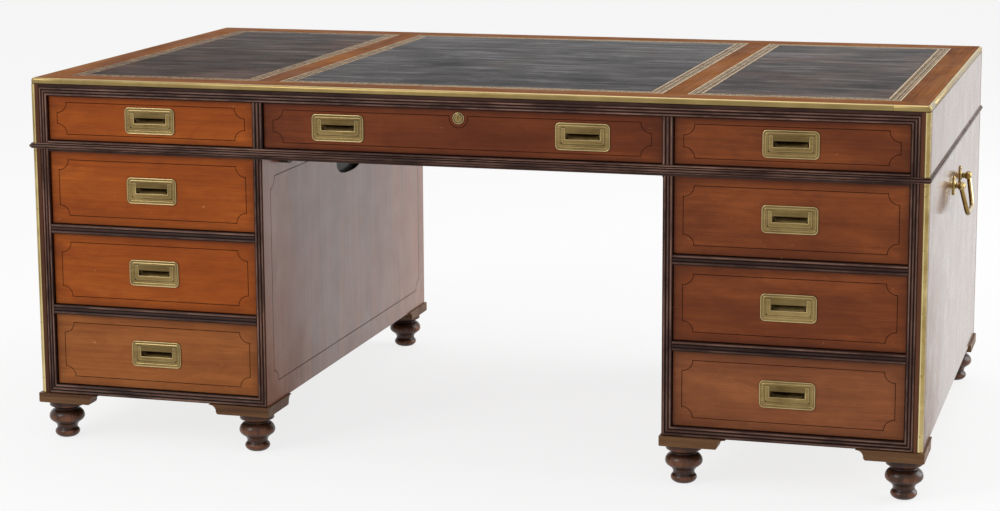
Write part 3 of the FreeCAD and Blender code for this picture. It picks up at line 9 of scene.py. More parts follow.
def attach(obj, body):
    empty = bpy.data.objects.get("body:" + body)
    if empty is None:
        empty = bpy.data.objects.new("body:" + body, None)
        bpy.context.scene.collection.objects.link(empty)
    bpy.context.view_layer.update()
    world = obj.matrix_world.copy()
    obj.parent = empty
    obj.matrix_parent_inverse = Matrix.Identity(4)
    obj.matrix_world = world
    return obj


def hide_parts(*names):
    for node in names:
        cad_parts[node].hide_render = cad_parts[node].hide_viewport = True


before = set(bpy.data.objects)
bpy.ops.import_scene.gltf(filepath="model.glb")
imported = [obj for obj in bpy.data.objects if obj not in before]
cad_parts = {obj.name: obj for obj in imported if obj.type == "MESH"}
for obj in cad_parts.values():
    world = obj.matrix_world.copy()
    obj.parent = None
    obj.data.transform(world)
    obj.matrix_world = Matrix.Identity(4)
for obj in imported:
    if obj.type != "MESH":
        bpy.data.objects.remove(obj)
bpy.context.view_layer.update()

MM = 0.001
SIDES = (-1, 1)
CORNERS = ((1, -1), (1, 1), (-1, 1), (-1, -1))

# Sizes are in millimetres, as in the CAD. Half the desk's width and depth, then heights that pieces share.
HALF_W, HALF_D = 914.5, 525.0
SPLIT, CASE_BASE, EDGE_BASE, TOP = 612.0, 100.0, 750.0, 762.0
FRIEZE_LOW, FRIEZE_HIGH, FRIEZE_MIDDLE = 634.0, 726.0, 680.0
FLOOR_TOP = 120.0  # top of the base rails and of the pedestals' floors
SHELVES = (290.0, 460.0)  # tops of the rails and dust boards between the drawers
BEAD_BASE, RAIL_TOP = 628.0, 744.0  # the top frame's lower bead and its upper rail
LOCK_Z, HOLD_Z, CARRY_Z = 708.0, 539.0, 540.0
BOARD = 20.0

# Distances from the desk's outer edge along its front: corner brass, reeded bands, kneehole.
STRIP, REED_OUT, REED_IN = 10.0, 18.0, 36.0
KNEE_IN, KNEE_EDGE, CASE_WIDTH = 485.0, 504.4, 505.0

# Distances from the desk's middle: kneehole face, partitions, carcase depth, panels.
KNEE = 409.5
PARTITION_IN, PARTITION_OUT = 407.5, 429.5
CASE_D, PANEL_D = 505.0, 517.0
STRIP_D = 523.0  # the thin strips over the frames' ends at the kneehole
GUIDE_END = 135.0  # how far back the drawer guides run
CEILING = 730.0  # underside of the board over the frieze drawers
FRONT_FACE = -PANEL_D


# ----------------------------------------------------------------------------------------------------------
# Materials


def rgb(red, green, blue):
    """An sRGB colour of 0 to 255 as the linear colour that a shader takes."""
    parts = []
    for part in (red, green, blue):
        part /= 255
        parts.append(part / 12.92 if part <= 0.04045 else ((part + 0.055) / 1.055) ** 2.4)
    return (*parts, 1.0)


def darker(colour, share):
    return tuple(share * part for part in colour[:3]) + (1,)


def connect(tree, value, socket):
    """Link an output to a socket, or set the socket to a plain number or colour."""
    if isinstance(value, bpy.types.NodeSocket):
        tree.links.new(value, socket)
    else:
        socket.default_value = value


def new_node(tree, kind, inputs, output=0, **settings):
    """Add a node, link or set its inputs, which are named or numbered, and return one of its outputs."""
    node = tree.nodes.new("ShaderNode" + kind)
    for setting, value in settings.items():
        setattr(node, setting, value)
    for socket, value in inputs.items():
        connect(tree, value, node.inputs[socket])
    return node.outputs[output]


class Shader:
    """A material's node tree with short ways to add nodes to it."""

    def __init__(self, name):
        self.material = bpy.data.materials.new(name)
        self.material.use_nodes = True
        self.tree = self.material.node_tree
        self.shader = self.tree.nodes["Principled BSDF"]
        self.coords = self.node("TexCoord", {}, "Object")

    def node(self, kind, inputs, output=0, **settings):
        return new_node(self.tree, kind, inputs, output, **settings)

    def stretched(self, scale, offset=(0, 0, 0)):
        """Object coordinates times a scale for each axis."""
        return self.node("Mapping", {"Scale": scale, "Location": offset, "Vector": self.coords})

    def part(self, coords, axis):
        return self.node("SeparateXYZ", {0: coords}, "XYZ".index(axis))

    def noise(self, vector, scale, detail=4, roughness=0.6, distortion=0.0):
        inputs = {"Vector": vector, "Scale": scale, "Detail": detail, "Roughness": roughness,
                  "Distortion": distortion}
        return self.node("TexNoise", inputs, "Fac")

    def math(self, kind, first, second=0.0):
        return self.node("Math", {0: first, 1: second}, operation=kind)

    def times(self, first, second):
        return self.math("MULTIPLY", first, second)

    def plus(self, first, second):
        return self.math("ADD", first, second)

    def blend(self, first, second, share):
        """The mean of two values, weighted by the second's share."""
        return self.plus(self.times(first, 1 - share), self.times(second, share))

    def span(self, value, low, high, to_low=0.0, to_high=1.0):
        """A value taken from low..high to to_low..to_high, held inside them."""
        return self.node("MapRange", {"Value": value, "From Min": low, "From Max": high, "To Min": to_low,
                                      "To Max": to_high}, clamp=True)

    def ramp(self, value, *stops):
        """A colour between stops of (place, colour)."""
        colour = self.node("ValToRGB", {"Fac": value})
        elements = colour.node.color_ramp.elements
        while len(elements) < len(stops):
            elements.new(0.5)
        for element, (place, tone) in zip(elements, stops):
            element.position = place
            element.color = tone
        return colour

    def mix(self, amount, first, second):
        return self.node("Mix", {"Factor": amount, "A": first, "B": second}, "Result", data_type="RGBA")

    def attribute(self, name):
        return self.node("Attribute", {}, "Fac", attribute_name=name)

    def near_edges(self):
        """0 over the middle of an upright board and 1 at its edges, with an uneven border."""
        board = self.node("TexCoord", {}, "Generated")
        spread = self.times(self.math("SUBTRACT", self.noise(self.coords, 22, 3, 0.6), 0.5), 0.09)
        edges = []
        for axis, low, high in (("X", 0.44, 0.505), ("Z", 0.36, 0.51)):
            away = self.math("ABSOLUTE", self.math("SUBTRACT", self.part(board, axis), 0.5))
            edges.append(self.span(self.plus(away, spread), low, high))
        return self.math("MAXIMUM", *edges)

    def bump(self, height, strength, distance):
        normal = self.node("Bump", {"Height": height, "Strength": strength, "Distance": distance}, "Normal")
        connect(self.tree, normal, self.shader.inputs["Normal"])

    def done(self, colour, roughness, metallic=0.0, coat=0.0, coat_roughness=0.1, coat_ior=1.5, specular=0.5):
        for socket, value in (
            ("Base Color", colour), ("Roughness", roughness), ("Metallic", metallic), ("Coat Weight", coat),
            ("Coat Roughness", coat_roughness), ("Coat IOR", coat_ior), ("Specular IOR Level", specular),
        ):
            connect(self.tree, value, self.shader.inputs[socket])
        return self.material


def wood(name, tones, axis, offset, coat=0.04, coat_roughness=0.12, coat_ior=1.5, gloss=0.38, specular=0.14,
         flecks=0.0, worn=None, pores=0.35, streaks=0.45, mottle_and_dark_edges=0.0, dull=False):
    """Polished wood whose grain runs along one axis: broad figure, fine streaks, open pores, small pale dents
    and, where the piece carries it, worn crests whose paler colour is also a painted highlight. dull thins the
    clear coat low down and towards the front."""
    s = Shader(name)
    dark, middle, light = (rgb(*tone) for tone in tones)

    def grain(stretch, scale, detail, roughness, distortion=0.0, axis=axis):
        lengths = tuple(stretch if axis == name else 1.0 for name in "XYZ")
        shift = (offset, offset * 1.7, offset * 0.6)
        return s.noise(s.stretched(lengths, shift), scale, detail, roughness, distortion)

    streak = grain(0.025, 150, 5, 0.62, 0.25)
    tone = s.blend(grain(0.16, 11, 3, 0.55, 0.9), streak, streaks)
    colour = s.ramp(tone, (0.34, dark), (0.5, middle), (0.66, light))
    pore = s.span(grain(0.03, 620, 3, 0.6), 0.57, 0.68)
    colour = s.mix(s.times(pore, pores), colour, darker(dark, 0.35))
    cloud = s.noise(s.coords, 2.6, 2, 0.5)
    between = tuple((a + b) / 2 for a, b in zip(dark, middle))
    colour = s.mix(s.span(cloud, 0.35, 0.7, 0.0, 0.38), colour, between)
    # Darker mottling, and the board darker towards its edges.
    if mottle_and_dark_edges:
        mottle = grain(0.5, 30, 4, 0.6, 0.7)
        colour = s.mix(s.span(mottle, 0.42, 0.66, 0.0, 0.42), colour, dark)
        colour = s.mix(s.times(s.near_edges(), mottle_and_dark_edges), colour, darker(dark, 0.4))
    if flecks:
        chips = s.span(grain(0.5, 190, 2, 0.45, 0.6), 0.765, 0.79, 0.0, flecks)
        colour = s.mix(chips, colour, rgb(196, 138, 92))
        scratches = s.span(grain(7.0, 24, 3, 0.7, axis="Z"), 0.745, 0.765, 0.0, flecks * 0.35)
        colour = s.mix(scratches, colour, rgb(176, 116, 72))
    # Paler colour on crests where the piece's point values ask for it: worn wood and a painted highlight
    # together.
    if worn:
        wear_and_highlight_mask = s.span(grain(0.2, 42, 4, 0.7), 0.38, 0.66, 0.12, 0.85)
        colour = s.mix(s.times(s.attribute("wear"), wear_and_highlight_mask), colour, rgb(*worn))
    rough = s.span(s.noise(s.coords, 14, 4, 0.6), 0.3, 0.7, gloss - 0.07, gloss + 0.1)
    s.bump(s.plus(s.times(streak, 0.5), s.times(pore, -0.6)), 0.16, 0.0006)
    if dull:
        front = s.span(s.part(s.coords, "Y"), -0.5, -0.16, 0.62, 0.0)
        foot = s.span(s.part(s.coords, "Z"), 0.1, 0.5, 0.62, 0.0)
        lost = s.plus(s.times(front, foot), s.times(front, 0.2))
        cloudy = s.span(s.noise(s.coords, 9, 3, 0.6), 0.35, 0.65, 0.8, 1.2)
        share = s.math("SUBTRACT", 1.0, s.times(s.times(lost, cloudy), 1.7))
        coat = s.times(s.math("MAXIMUM", share, 0.1), coat)
    return s.done(colour, rough, 0.0, coat, coat_roughness, coat_ior, specular)


def brass(name, base, tarnish, bright, rough, age, highlight_tone=(226, 210, 160), brush=0.45):
    """Old polished brass: cloudy tarnish, brighter rubbed zones and fine hairline scratches. A value on each
    point darkens it towards a dirt colour that also paints shade and, below 0, lightens it with a painted
    highlight.
    """
    s = Shader(name)
    cloud = s.noise(s.coords, 16, 3, 0.55, 0.3)
    small = s.noise(s.coords, 230, 4, 0.6)
    brushed = s.noise(s.stretched((0.05, 1, 1)), 520, 3, 0.6)
    tone = s.blend(cloud, brushed, brush)
    colour = s.ramp(tone, (0.3, rgb(*tarnish)), (0.5, rgb(*base)), (0.7, rgb(*bright)))
    colour = s.mix(s.span(small, 0.58, 0.74, 0.0, age), colour, rgb(*tarnish))
    # Above 0 the point's value mixes in dirt and painted shade, below 0 a painted highlight colour.
    grime = s.attribute("grime")
    colour = s.mix(s.span(grime, 0.0, 1.0, 0.0, 0.85), colour, rgb(66, 52, 32))
    colour = s.mix(s.span(grime, 0.0, -1.0, 0.0, 0.9), colour, rgb(*highlight_tone))
    hair = s.noise(s.stretched((1, 1, 14)), 160, 3, 0.7)
    roughness = s.span(s.blend(cloud, hair, 0.4), 0.35, 0.7, rough - 0.06, rough + 0.16)
    s.bump(s.plus(s.times(small, 0.5), hair), 0.12, 0.0004)
    return s.done(colour, roughness, metallic=1.0)


def leather(name, tone, warm, offset):
    """Old desk leather: fine pebble grain, soft creases, rubbed and stained areas."""
    s = Shader(name)

    def toned(share, more=0):
        return rgb(*(min(part * share + more, 255) for part in tone))

    shift = s.stretched((1, 1, 1), (offset, offset * 0.7, 0))
    pebble = s.node("TexVoronoi", {"Vector": s.stretched((1, 1, 1), (offset, 0, 0)), "Scale": 620}, "Distance",
                    feature="DISTANCE_TO_EDGE")
    crease = s.noise(shift, 38, 6, 0.7, 1.2)
    stain = s.noise(shift, 4.2, 5, 0.62, 0.8)
    rubbed = s.noise(shift, 16, 5, 0.66)
    streaks = s.noise(s.stretched((0.16, 1, 1), (offset, 0, 0)), 30, 5, 0.7)
    colour = s.ramp(stain, (0.32, toned(0.72)), (0.5, toned(1)), (0.7, rgb(*warm)))
    colour = s.mix(s.span(rubbed, 0.52, 0.74, 0.0, 0.4), colour, toned(1.55, 14))
    colour = s.mix(s.span(streaks, 0.53, 0.66, 0.0, 0.42), colour, toned(1.6, 18))
    colour = s.mix(s.span(streaks, 0.46, 0.32, 0.0, 0.4), colour, toned(0.5))
    colour = s.mix(s.span(crease, 0.6, 0.7, 0.0, 0.5), colour, toned(0.55))
    handled = s.span(s.part(s.coords, "Y"), -0.45, 0.4, 0.2, 0.0)
    rough = s.plus(s.span(streaks, 0.3, 0.7, 0.7, 0.38), handled)
    s.bump(s.plus(s.span(pebble, 0.0, 0.12), s.times(crease, 1.4)), 0.35, 0.0005)
    return s.done(colour, rough, specular=0.12)


def gilt():
    """Gold tooling pressed into leather, worn away in places, less so towards the right."""
    s = Shader("gilt_tooling")
    fresh = s.span(s.part(s.coords, "X"), -0.85, 0.1, 0.16, -0.02)
    worn = s.plus(s.noise(s.coords, 75, 5, 0.7, 0.4), fresh)
    colour = s.ramp(worn, (0.42, rgb(222, 200, 160)), (0.58, rgb(192, 164, 122)), (0.7, rgb(116, 92, 70)))
    s.bump(worn, 0.2, 0.0003)
    return s.done(colour, s.span(worn, 0.3, 0.7, 0.38, 0.6), metallic=0.25)


def steel():
    s = Shader("lock_steel")
    cloud = s.noise(s.coords, 120, 4, 0.6)
    colour = s.ramp(cloud, (0.35, rgb(96, 94, 92)), (0.6, rgb(150, 149, 147)))
    s.bump(cloud, 0.1, 0.0003)
    return s.done(colour, s.span(cloud, 0.3, 0.7, 0.28, 0.45), metallic=1.0)


# The drawer fronts are one wood. These copies differ in brightness as painted light: lighter on the left,
# darker in the middle and on the right, paler on the lower drawers.
LEFT_PAINTED_LIGHT_TONES = (124, 54, 8), (156, 76, 16), (180, 96, 30)
LEFT_LOW_PAINTED_LIGHT_TONES = (124, 66, 28), (156, 92, 44), (178, 110, 58)
CENTRE_PAINTED_LIGHT_TONES = (82, 34, 12), (107, 49, 18), (130, 66, 28)
RIGHT_PAINTED_LIGHT_TONES = (88, 38, 14), (118, 58, 23), (144, 76, 34)
RIGHT_LOW_PAINTED_LIGHT_TONES = (104, 56, 30), (136, 78, 44), (158, 94, 54)
REED_TONES = (22, 10, 8), (38, 19, 15), (54, 28, 22)
PLAIN_TONES = (58, 29, 16), (82, 45, 25), (106, 64, 36)
SIDE_TONES = (84, 48, 22), (108, 66, 32), (128, 82, 46)
BACK_TONES = (96, 44, 14), (126, 62, 22), (150, 80, 32)
KNEE_TONES = (104, 56, 28), (132, 74, 38), (154, 90, 48)
BORDER_TONES = (90, 48, 17), (125, 72, 26), (150, 93, 40)
BRACKET_TONES = (74, 47, 29), (106, 74, 47), (134, 98, 62)
TURNED_TONES = (22, 11, 7), (42, 22, 14), (72, 41, 26)
CARCASE_TONES = (122, 84, 50), (158, 116, 74), (184, 144, 98)
# Near-black wood that paints the shade inside the hand holds and on the cleats under the top.
PAINTED_SHADE_TONES = (16, 11, 9), (28, 19, 14), (42, 28, 20)
STRING_TONES = (24, 10, 6), (38, 16, 8), (52, 24, 12)

FRONT = {"flecks": 0.6, "streaks": 0.28, "mottle_and_dark_edges": 0.42}
# worn is the colour of worn reed crests, which also stands for their painted highlights.
REED = {"coat": 0.05, "gloss": 0.36, "specular": 0.1, "worn": (164, 124, 106)}
BORDER = {"coat": 0.0, "specular": 0.005, "gloss": 0.42, "flecks": 0.35}

front_left = wood("front_left", LEFT_PAINTED_LIGHT_TONES, "X", 0.3, **FRONT)
front_centre = wood("front_centre", CENTRE_PAINTED_LIGHT_TONES, "X", 1.9, **FRONT)
front_right = wood("front_right", RIGHT_PAINTED_LIGHT_TONES, "X", 3.1, **FRONT)
front_left_low = wood("front_left_low", LEFT_LOW_PAINTED_LIGHT_TONES, "X", 5.6, **FRONT)
front_right_low = wood("front_right_low", RIGHT_LOW_PAINTED_LIGHT_TONES, "X", 7.7, **FRONT)
reed_x = wood("reeding_across", REED_TONES, "X", 0.8, **REED)
plain_z = wood("frame_band_upright", PLAIN_TONES, "Z", 4.9, coat=0.1)
reed_z = wood("reeding_upright", REED_TONES, "Z", 2.2, **REED)
side_wood = wood("side_panel", SIDE_TONES, "Z", 5.2, coat=0.77, coat_roughness=0.1, coat_ior=1.55, gloss=0.3,
                 pores=0.15, dull=True)
back_wood = wood("back_panels", BACK_TONES, "X", 10.6, coat=0.25, streaks=0.3, flecks=0.4)
knee_wood = wood("kneehole_panel", KNEE_TONES, "Z", 4.4, coat=0.8, coat_roughness=0.2, coat_ior=1.6,
                 flecks=0.3, pores=0.15, dull=True)
top_x = wood("top_border_across", BORDER_TONES, "X", 6.2, **BORDER)
top_y = wood("top_border_deep", BORDER_TONES, "Y", 7.3, **BORDER)
bracket_wood = wood("bracket_wood", BRACKET_TONES, "X", 8.1, flecks=0.4, gloss=0.42)
# Its worn colour also paints the highlights on the feet's swells.
turned_wood = wood("turned_wood", TURNED_TONES, "Z", 9.4, coat=0.26, coat_roughness=0.16, gloss=0.34,
                   specular=0.16, worn=(138, 86, 56))
carcase_wood = wood("carcase_wood", CARCASE_TONES, "Y", 1.2, coat=0.0, gloss=0.62, pores=0.25)
painted_shade_wood = wood("hold_painted_shade", PAINTED_SHADE_TONES, "Y", 2.8, coat=0.2, gloss=0.5)
string_wood = wood("ebony_stringing", STRING_TONES, "X", 3.7, coat=0.0, specular=0.03, gloss=0.5)
handle_brass = brass("handle_brass", (134, 112, 70), (98, 80, 46), (162, 140, 92), 0.32, 0.35, (204, 186, 140))
edge_brass = brass("edge_brass", (160, 138, 88), (148, 126, 78), (172, 150, 98), 0.3, 0.1,
                   (228, 212, 162), 0.2)
# A lighter copy of the handles' brass for the corner strips: painted light.
strip_brass = brass("strip_brass", (176, 154, 98), (148, 124, 72), (204, 184, 128), 0.24, 0.18, brush=0.0)
carry_brass = brass("carrying_brass", (150, 122, 68), (96, 74, 34), (196, 168, 104), 0.2, 0.25,
                    (236, 220, 172), 0.0)
leather_left = leather("leather_left", (46, 34, 29), (72, 47, 36), 1.3)
leather_centre = leather("leather_centre", (63, 61, 62), (77, 71, 70), 4.6)
leather_right = leather("leather_right", (60, 55, 54), (82, 68, 62), 8.8)
leather_band = leather("leather_band", (84, 60, 44), (108, 78, 56), 6.1)
gold = gilt()
lock_steel = steel()


# ----------------------------------------------------------------------------------------------------------
# Lines and meshes


def circle(radius, steps):
    turns = [2 * math.pi * step / steps for step in range(steps)]
    return [(radius * math.cos(turn), radius * math.sin(turn)) for turn in turns]


def arc(centre, radius, start, sweep, steps):
    """Points along an arc. start and sweep are in degrees."""
    angles = [math.radians(start + sweep * step / steps) for step in range(steps + 1)]
    return [(centre[0] + radius * math.cos(angle), centre[1] + radius * math.sin(angle)) for angle in angles]


def rectangle(x0, y0, x1, y1):
    return [(x0, y0), (x1, y0), (x1, y1), (x0, y1)]


def mitred(outer, inner):
    """The four quads between two rectangles."""
    return [(outer[i], outer[(i + 1) % 4], inner[(i + 1) % 4], inner[i]) for i in range(4)]


def placed(name, data):
    """A new object in the scene."""
    thing = bpy.data.objects.new(name, data)
    bpy.context.scene.collection.objects.link(thing)
    return thing


def inward(outline, least):
    """For each point of an anticlockwise outline, the shift that moves both its sides inwards by 1. least
    keeps the shift short in sharp corners."""
    shifts = []
    for i, here in enumerate(outline):
        here = Vector(here)
        before = (here - Vector(outline[i - 1])).normalized()
        after = (Vector(outline[(i + 1) % len(outline)]) - here).normalized()
        first, second = Vector((-before.y, before.x)), Vector((-after.y, after.x))
        shifts.append((first + second) / max(1 + first.dot(second), least))
    return shifts


class Piece:
    """Points in millimetres and faces of one object, with a value on each point for worn or dirty spots and for
    painted highlights and painted shade, and a material on each face."""

    def __init__(self, *materials):
        self.materials = materials
        self.points = []
        self.shades = []
        self.faces = []

    def add(self, point, shade=0.0):
        self.points.append(Vector(point) * MM)
        self.shades.append(shade)
        return len(self.points) - 1

    def face(self, corners, material=0):
        self.faces.append((tuple(corners), material))

    def rings(self, rings, material=0, around=True, along=False, caps=True):
        """Quads between rings of point numbers. around closes each ring, and along joins the last ring to the
        first."""
        count, points = len(rings), len(rings[0])
        for i in range(count if along else count - 1):
            here, there = rings[i], rings[(i + 1) % count]
            for j in range(points if around else points - 1):
                k = (j + 1) % points
                self.face((here[j], here[k], there[k], there[j]), material)
        if caps and around and not along:
            self.face(rings[0], material)
            self.face(rings[-1], material)

    def board(self, low, high, edge=0.6, material=0):
        """A board with small chamfers on all its edges."""
        corners = {}
        for key in product((0, 1), repeat=3):
            at = [(low, high)[end][i] for i, end in enumerate(key)]
            inner = [at[i] + (edge, -edge)[end] for i, end in enumerate(key)]
            corners[key] = [self.add([at[i] if i == kept else inner[i] for i in range(3)])
                            for kept in range(3)]
        for axis in range(3):
            one, two = [i for i in range(3) if i != axis]

            def corner(end, a, b):
                key = [0, 0, 0]
                key[axis], key[one], key[two] = end, a, b
                return corners[tuple(key)]

            for end in (0, 1):
                self.face([corner(end, a, b)[axis] for a, b in rectangle(0, 0, 1, 1)], material)
            for a, b in product((0, 1), repeat=2):
                first, second = corner(0, a, b), corner(1, a, b)
                self.face((first[one], second[one], second[two], first[two]), material)
        for numbers in corners.values():
            self.face(numbers, material)

    def section(self, start, finish, profile, place):
        """A ring across a moulding. profile lists (share of the way from start to finish, depth, shade), and
        place turns (u, z, depth) into a point."""
        (u0, z0), (u1, z1) = start, finish
        return [self.add(place(u0 + share * (u1 - u0), z0 + share * (z1 - z0), depth), shade)
                for share, depth, shade in profile]

    def band(self, outer, inner, profile, place, material=0):
        """A moulding between two lines with mitres at their corners."""
        self.rings([self.section(a, b, profile, place) for a, b in zip(outer, inner)], material)

    def lathe(self, profile, centre, steps, axis="Z"):
        """A turning. profile lists (radius, place along the axis, shade)."""
        rings = []
        for radius, height, shade in profile:
            offsets = [(a, b, height) if axis == "Z" else (a, height, b) for a, b in circle(radius, steps)]
            rings.append([self.add(Vector(centre) + Vector(offset), shade) for offset in offsets])
        self.rings(rings)

    def filled(self, loops, material=0):
        """A flat face with holes: the first loop is its outline."""
        numbers = [number for loop in loops for number in loop]
        lines = [[self.points[number] / MM for number in loop] for loop in loops]
        for corners in tessellate_polygon(lines):
            self.face([numbers[corner] for corner in corners], material)

    def build(self, name, body, replaces=(), slot=None, sharp=40, weighted=True, weld=True):
        """Make the object, put it under its body's empty and hide the CAD nodes that it replaces. slot only
        picks which attribute holds the points' values.
        """
        mesh = bpy.data.meshes.new(name)
        mesh.from_pydata([tuple(point) for point in self.points], [], [corners for corners, _ in self.faces])
        for material in self.materials:
            mesh.materials.append(material)
        mesh.polygons.foreach_set("material_index", [material for _, material in self.faces])
        mesh.polygons.foreach_set("use_smooth", [True] * len(self.faces))
        # Brass pieces' point values hold dirt, painted shade and painted highlights; the others' hold worn
        # crests with painted highlights.
        shades = mesh.attributes.new("grime" if slot == "brass" else "wear", "FLOAT", "POINT")
        shades.data.foreach_set("value", self.shades)
        shape = bmesh.new()
        shape.from_mesh(mesh)
        if weld:
            bmesh.ops.remove_doubles(shape, verts=shape.verts, dist=1e-6)
            bmesh.ops.dissolve_degenerate(shape, edges=shape.edges, dist=1e-6)
        bmesh.ops.recalc_face_normals(shape, faces=shape.faces)
        shape.to_mesh(mesh)
        shape.free()
        mesh.set_sharp_from_angle(angle=math.radians(sharp))
        piece = placed(name, mesh)
        if weighted:
            modifier = piece.modifiers.new("even_normals", "WEIGHTED_NORMAL")
            modifier.keep_sharp = True
            modifier.weight = 60
        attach(piece, body)
        if replaces:
            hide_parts(*replaces)


def finish_node(node, material):
    """Give a CAD node a better material in place of its own."""
    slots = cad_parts[node].data.materials
    slots.clear()
    slots.append(material)


# ----------------------------------------------------------------------------------------------------------
# Reeded frames and the waist moulding. Their profiles list (share across the band, depth, paleness of
# the crest, which is worn wood and painted highlight).


def reed_profile(reeds=3, floor=2.3, crest=0.25, back=20.0, rubbed=(1.0, 0.7, 1.0)):
    """Reeds side by side across a band, closed at its back. rubbed says how pale each crest is made: worn wood
    with a painted highlight.
    """
    steps = 10
    profile = [(0.0, back, 0.0)]
    for reed in range(reeds):
        for step in range(0 if reed == 0 else 1, steps + 1):
            angle = math.pi * step / steps
            share = (reed + (1 - math.cos(angle)) / 2) / reeds
            lift = math.sin(angle)
            # Each crest gets a paler line: worn wood and a painted highlight.
            profile.append((share, floor - (floor - crest) * lift, rubbed[reed] * lift ** 12))
    profile.append((1.0, back, 0.0))
    return profile


REEDS = reed_profile()
SHALLOW_REEDS = reed_profile(back=15.0)
# On the rails the top crest gets the strongest pale line and the middle one the faintest: worn wood and painted
# highlight.
RAIL_REEDS = reed_profile(rubbed=(0.5, 0.15, 1.0))
ONE_REED = reed_profile(1, 2.3, 0.3)
PLAIN = [(0.0, 20.0, 0.0), (0.0, 0.5, 0.3), (0.06, 0.0, 0.1), (0.94, 0.0, 0.1), (1.0, 0.5, 0.3),
         (1.0, 20.0, 0.0)]
BEHIND_BRASS = [(0.0, 20.0, 0.0), (0.0, 10.0, 0.2), (1.0, 10.0, 0.0), (1.0, 20.0, 0.0)]


def face_place(side, end):
    """Places a point by its distance from one outer edge, its height and its depth below the frame's face."""
    return lambda u, z, depth: (side * (HALF_W - u), end * (HALF_D - depth), z)


def stile(piece, near, far, low, high, profile, place, material):
    """An upright band."""
    piece.band([(near, low), (near, high)], [(far, low), (far, high)], profile, place, material)


def rail(piece, near, far, low, high, profile, place):
    """A level band."""
    piece.band([(near, low), (far, low)], [(near, high), (far, high)], profile, place)


def outer_stile(piece, side, end, low, high):
    """The plain band beside the corner brass and the wood behind the brass."""
    place = face_place(side, end)
    stile(piece, STRIP, REED_OUT, low, high, PLAIN, place, 2)
    stile(piece, 0, STRIP, low, high, BEHIND_BRASS, place, 2)


def pedestal_frames(name, end, node):
    """Reeded frames of both pedestals, mitred at the base corners."""
    piece = Piece(reed_x, reed_z, plain_z)
    for side in SIDES:
        place = face_place(side, end)
        outer_stile(piece, side, end, CASE_BASE, SPLIT)
        outer = [(REED_OUT, SPLIT), (REED_OUT, CASE_BASE), (KNEE_EDGE, CASE_BASE), (KNEE_EDGE, SPLIT)]
        inner = [(REED_IN, SPLIT), (REED_IN, FLOOR_TOP), (KNEE_IN, FLOOR_TOP), (KNEE_IN, SPLIT)]
        for i, material in enumerate((1, 0, 1)):
            piece.band(outer[i:i + 2], inner[i:i + 2], REEDS, place, material)
        if end < 0:
            for top in SHELVES:
                rail(piece, REED_IN, KNEE_IN, top - BOARD, top, RAIL_REEDS, place)
    piece.build(name, "pedestals", [node], "dark_mahogany", weld=False)


def mortised_rail(piece, place, wide):
    """The top rail, mitred at its ends, with room behind its middle for the rising lock bolt."""
    left, right = wide / 2 - 11, wide / 2 + 11
    sections = (
        (REED_OUT, REED_IN, REEDS), (left - 0.5, left - 0.5, REEDS), (left, left, SHALLOW_REEDS),
        (right, right, SHALLOW_REEDS), (right + 0.5, right + 0.5, REEDS),
        (wide - REED_OUT, wide - REED_IN, REEDS),
    )
    piece.rings([piece.section((outer, RAIL_TOP), (inner, FRIEZE_HIGH), profile, place)
                 for outer, inner, profile in sections])


def top_frame(name, end, node):
    """The top section's reeded frame, mitred at its upper corners."""
    piece = Piece(reed_x, reed_z, plain_z)
    for side in SIDES:
        outer_stile(piece, side, end, SPLIT, EDGE_BASE)
    place = face_place(1, end)
    wide = 2 * HALF_W
    far_out, far_in = wide - REED_OUT, wide - REED_IN
    outer = [(REED_OUT, SPLIT), (REED_OUT, RAIL_TOP), (far_out, RAIL_TOP), (far_out, SPLIT)]
    inner = [(REED_IN, SPLIT), (REED_IN, FRIEZE_HIGH), (far_in, FRIEZE_HIGH), (far_in, SPLIT)]
    for i in (0, 2):
        piece.band(outer[i:i + 2], inner[i:i + 2], REEDS, place, 1)
    mortised_rail(piece, place, wide)
    rail(piece, REED_OUT, far_out, RAIL_TOP, EDGE_BASE, PLAIN, place)
    rail(piece, REED_IN, far_in, SPLIT, BEAD_BASE, PLAIN, place)
    rail(piece, REED_IN, far_in, BEAD_BASE, FRIEZE_LOW, ONE_REED, place)
    for side in SIDES:
        near, far = HALF_W - side * PARTITION_OUT, HALF_W - side * PARTITION_IN
        stile(piece, near, far, FRIEZE_LOW, FRIEZE_HIGH, REEDS, place, 1)
    piece.build(name, "top", [node], "dark_mahogany", weld=False)


def waist():
    """The moulding round the foot of the top section, an astragal between two small beads, mitred."""
    piece = Piece(reed_x)
    # The third numbers make the small beads' crests and the astragal's crest paler: worn wood and painted
    # highlights.
    section = [(-1.0, 617.0, 0), (1.2, 617.0, 0.3), (1.9, 617.6, 0.9), (1.9, 618.4, 0.6), (1.2, 618.9, 0)]
    for step in range(13):
        angle = math.pi * step / 12
        swell = math.sin(angle)
        section.append((1.2 + 3.2 * swell, 622.4 - 3.3 * math.cos(angle), 0.6 * swell ** 8))
    section += [(1.2, 625.9, 0), (1.9, 626.4, 0.6), (1.9, 627.4, 1.0), (1.2, 628.0, 0.3), (-1.0, 628.0, 0)]
    rings = []
    for sx, sy in rectangle(-1, -1, 1, 1):
        rings.append([piece.add((sx * (HALF_W + out), sy * (HALF_D + out), z), shade)
                      for out, z, shade in section])
    piece.rings(rings, along=True)
    piece.build("waist_astragal", "top", ["waist_moulding"], "dark_mahogany", sharp=50, weighted=False)


pedestal_frames("pedestal_front_reeding", -1, "pedestal_front_frames")
pedestal_frames("pedestal_back_reeding", 1, "pedestal_back_frames")
top_frame("top_front_reeding", -1, "top_front_frame")
top_frame("top_back_reeding", 1, "top_back_frame")
waist()


# ----------------------------------------------------------------------------------------------------------
# Top: brass edging, wood border, leather and its tooling

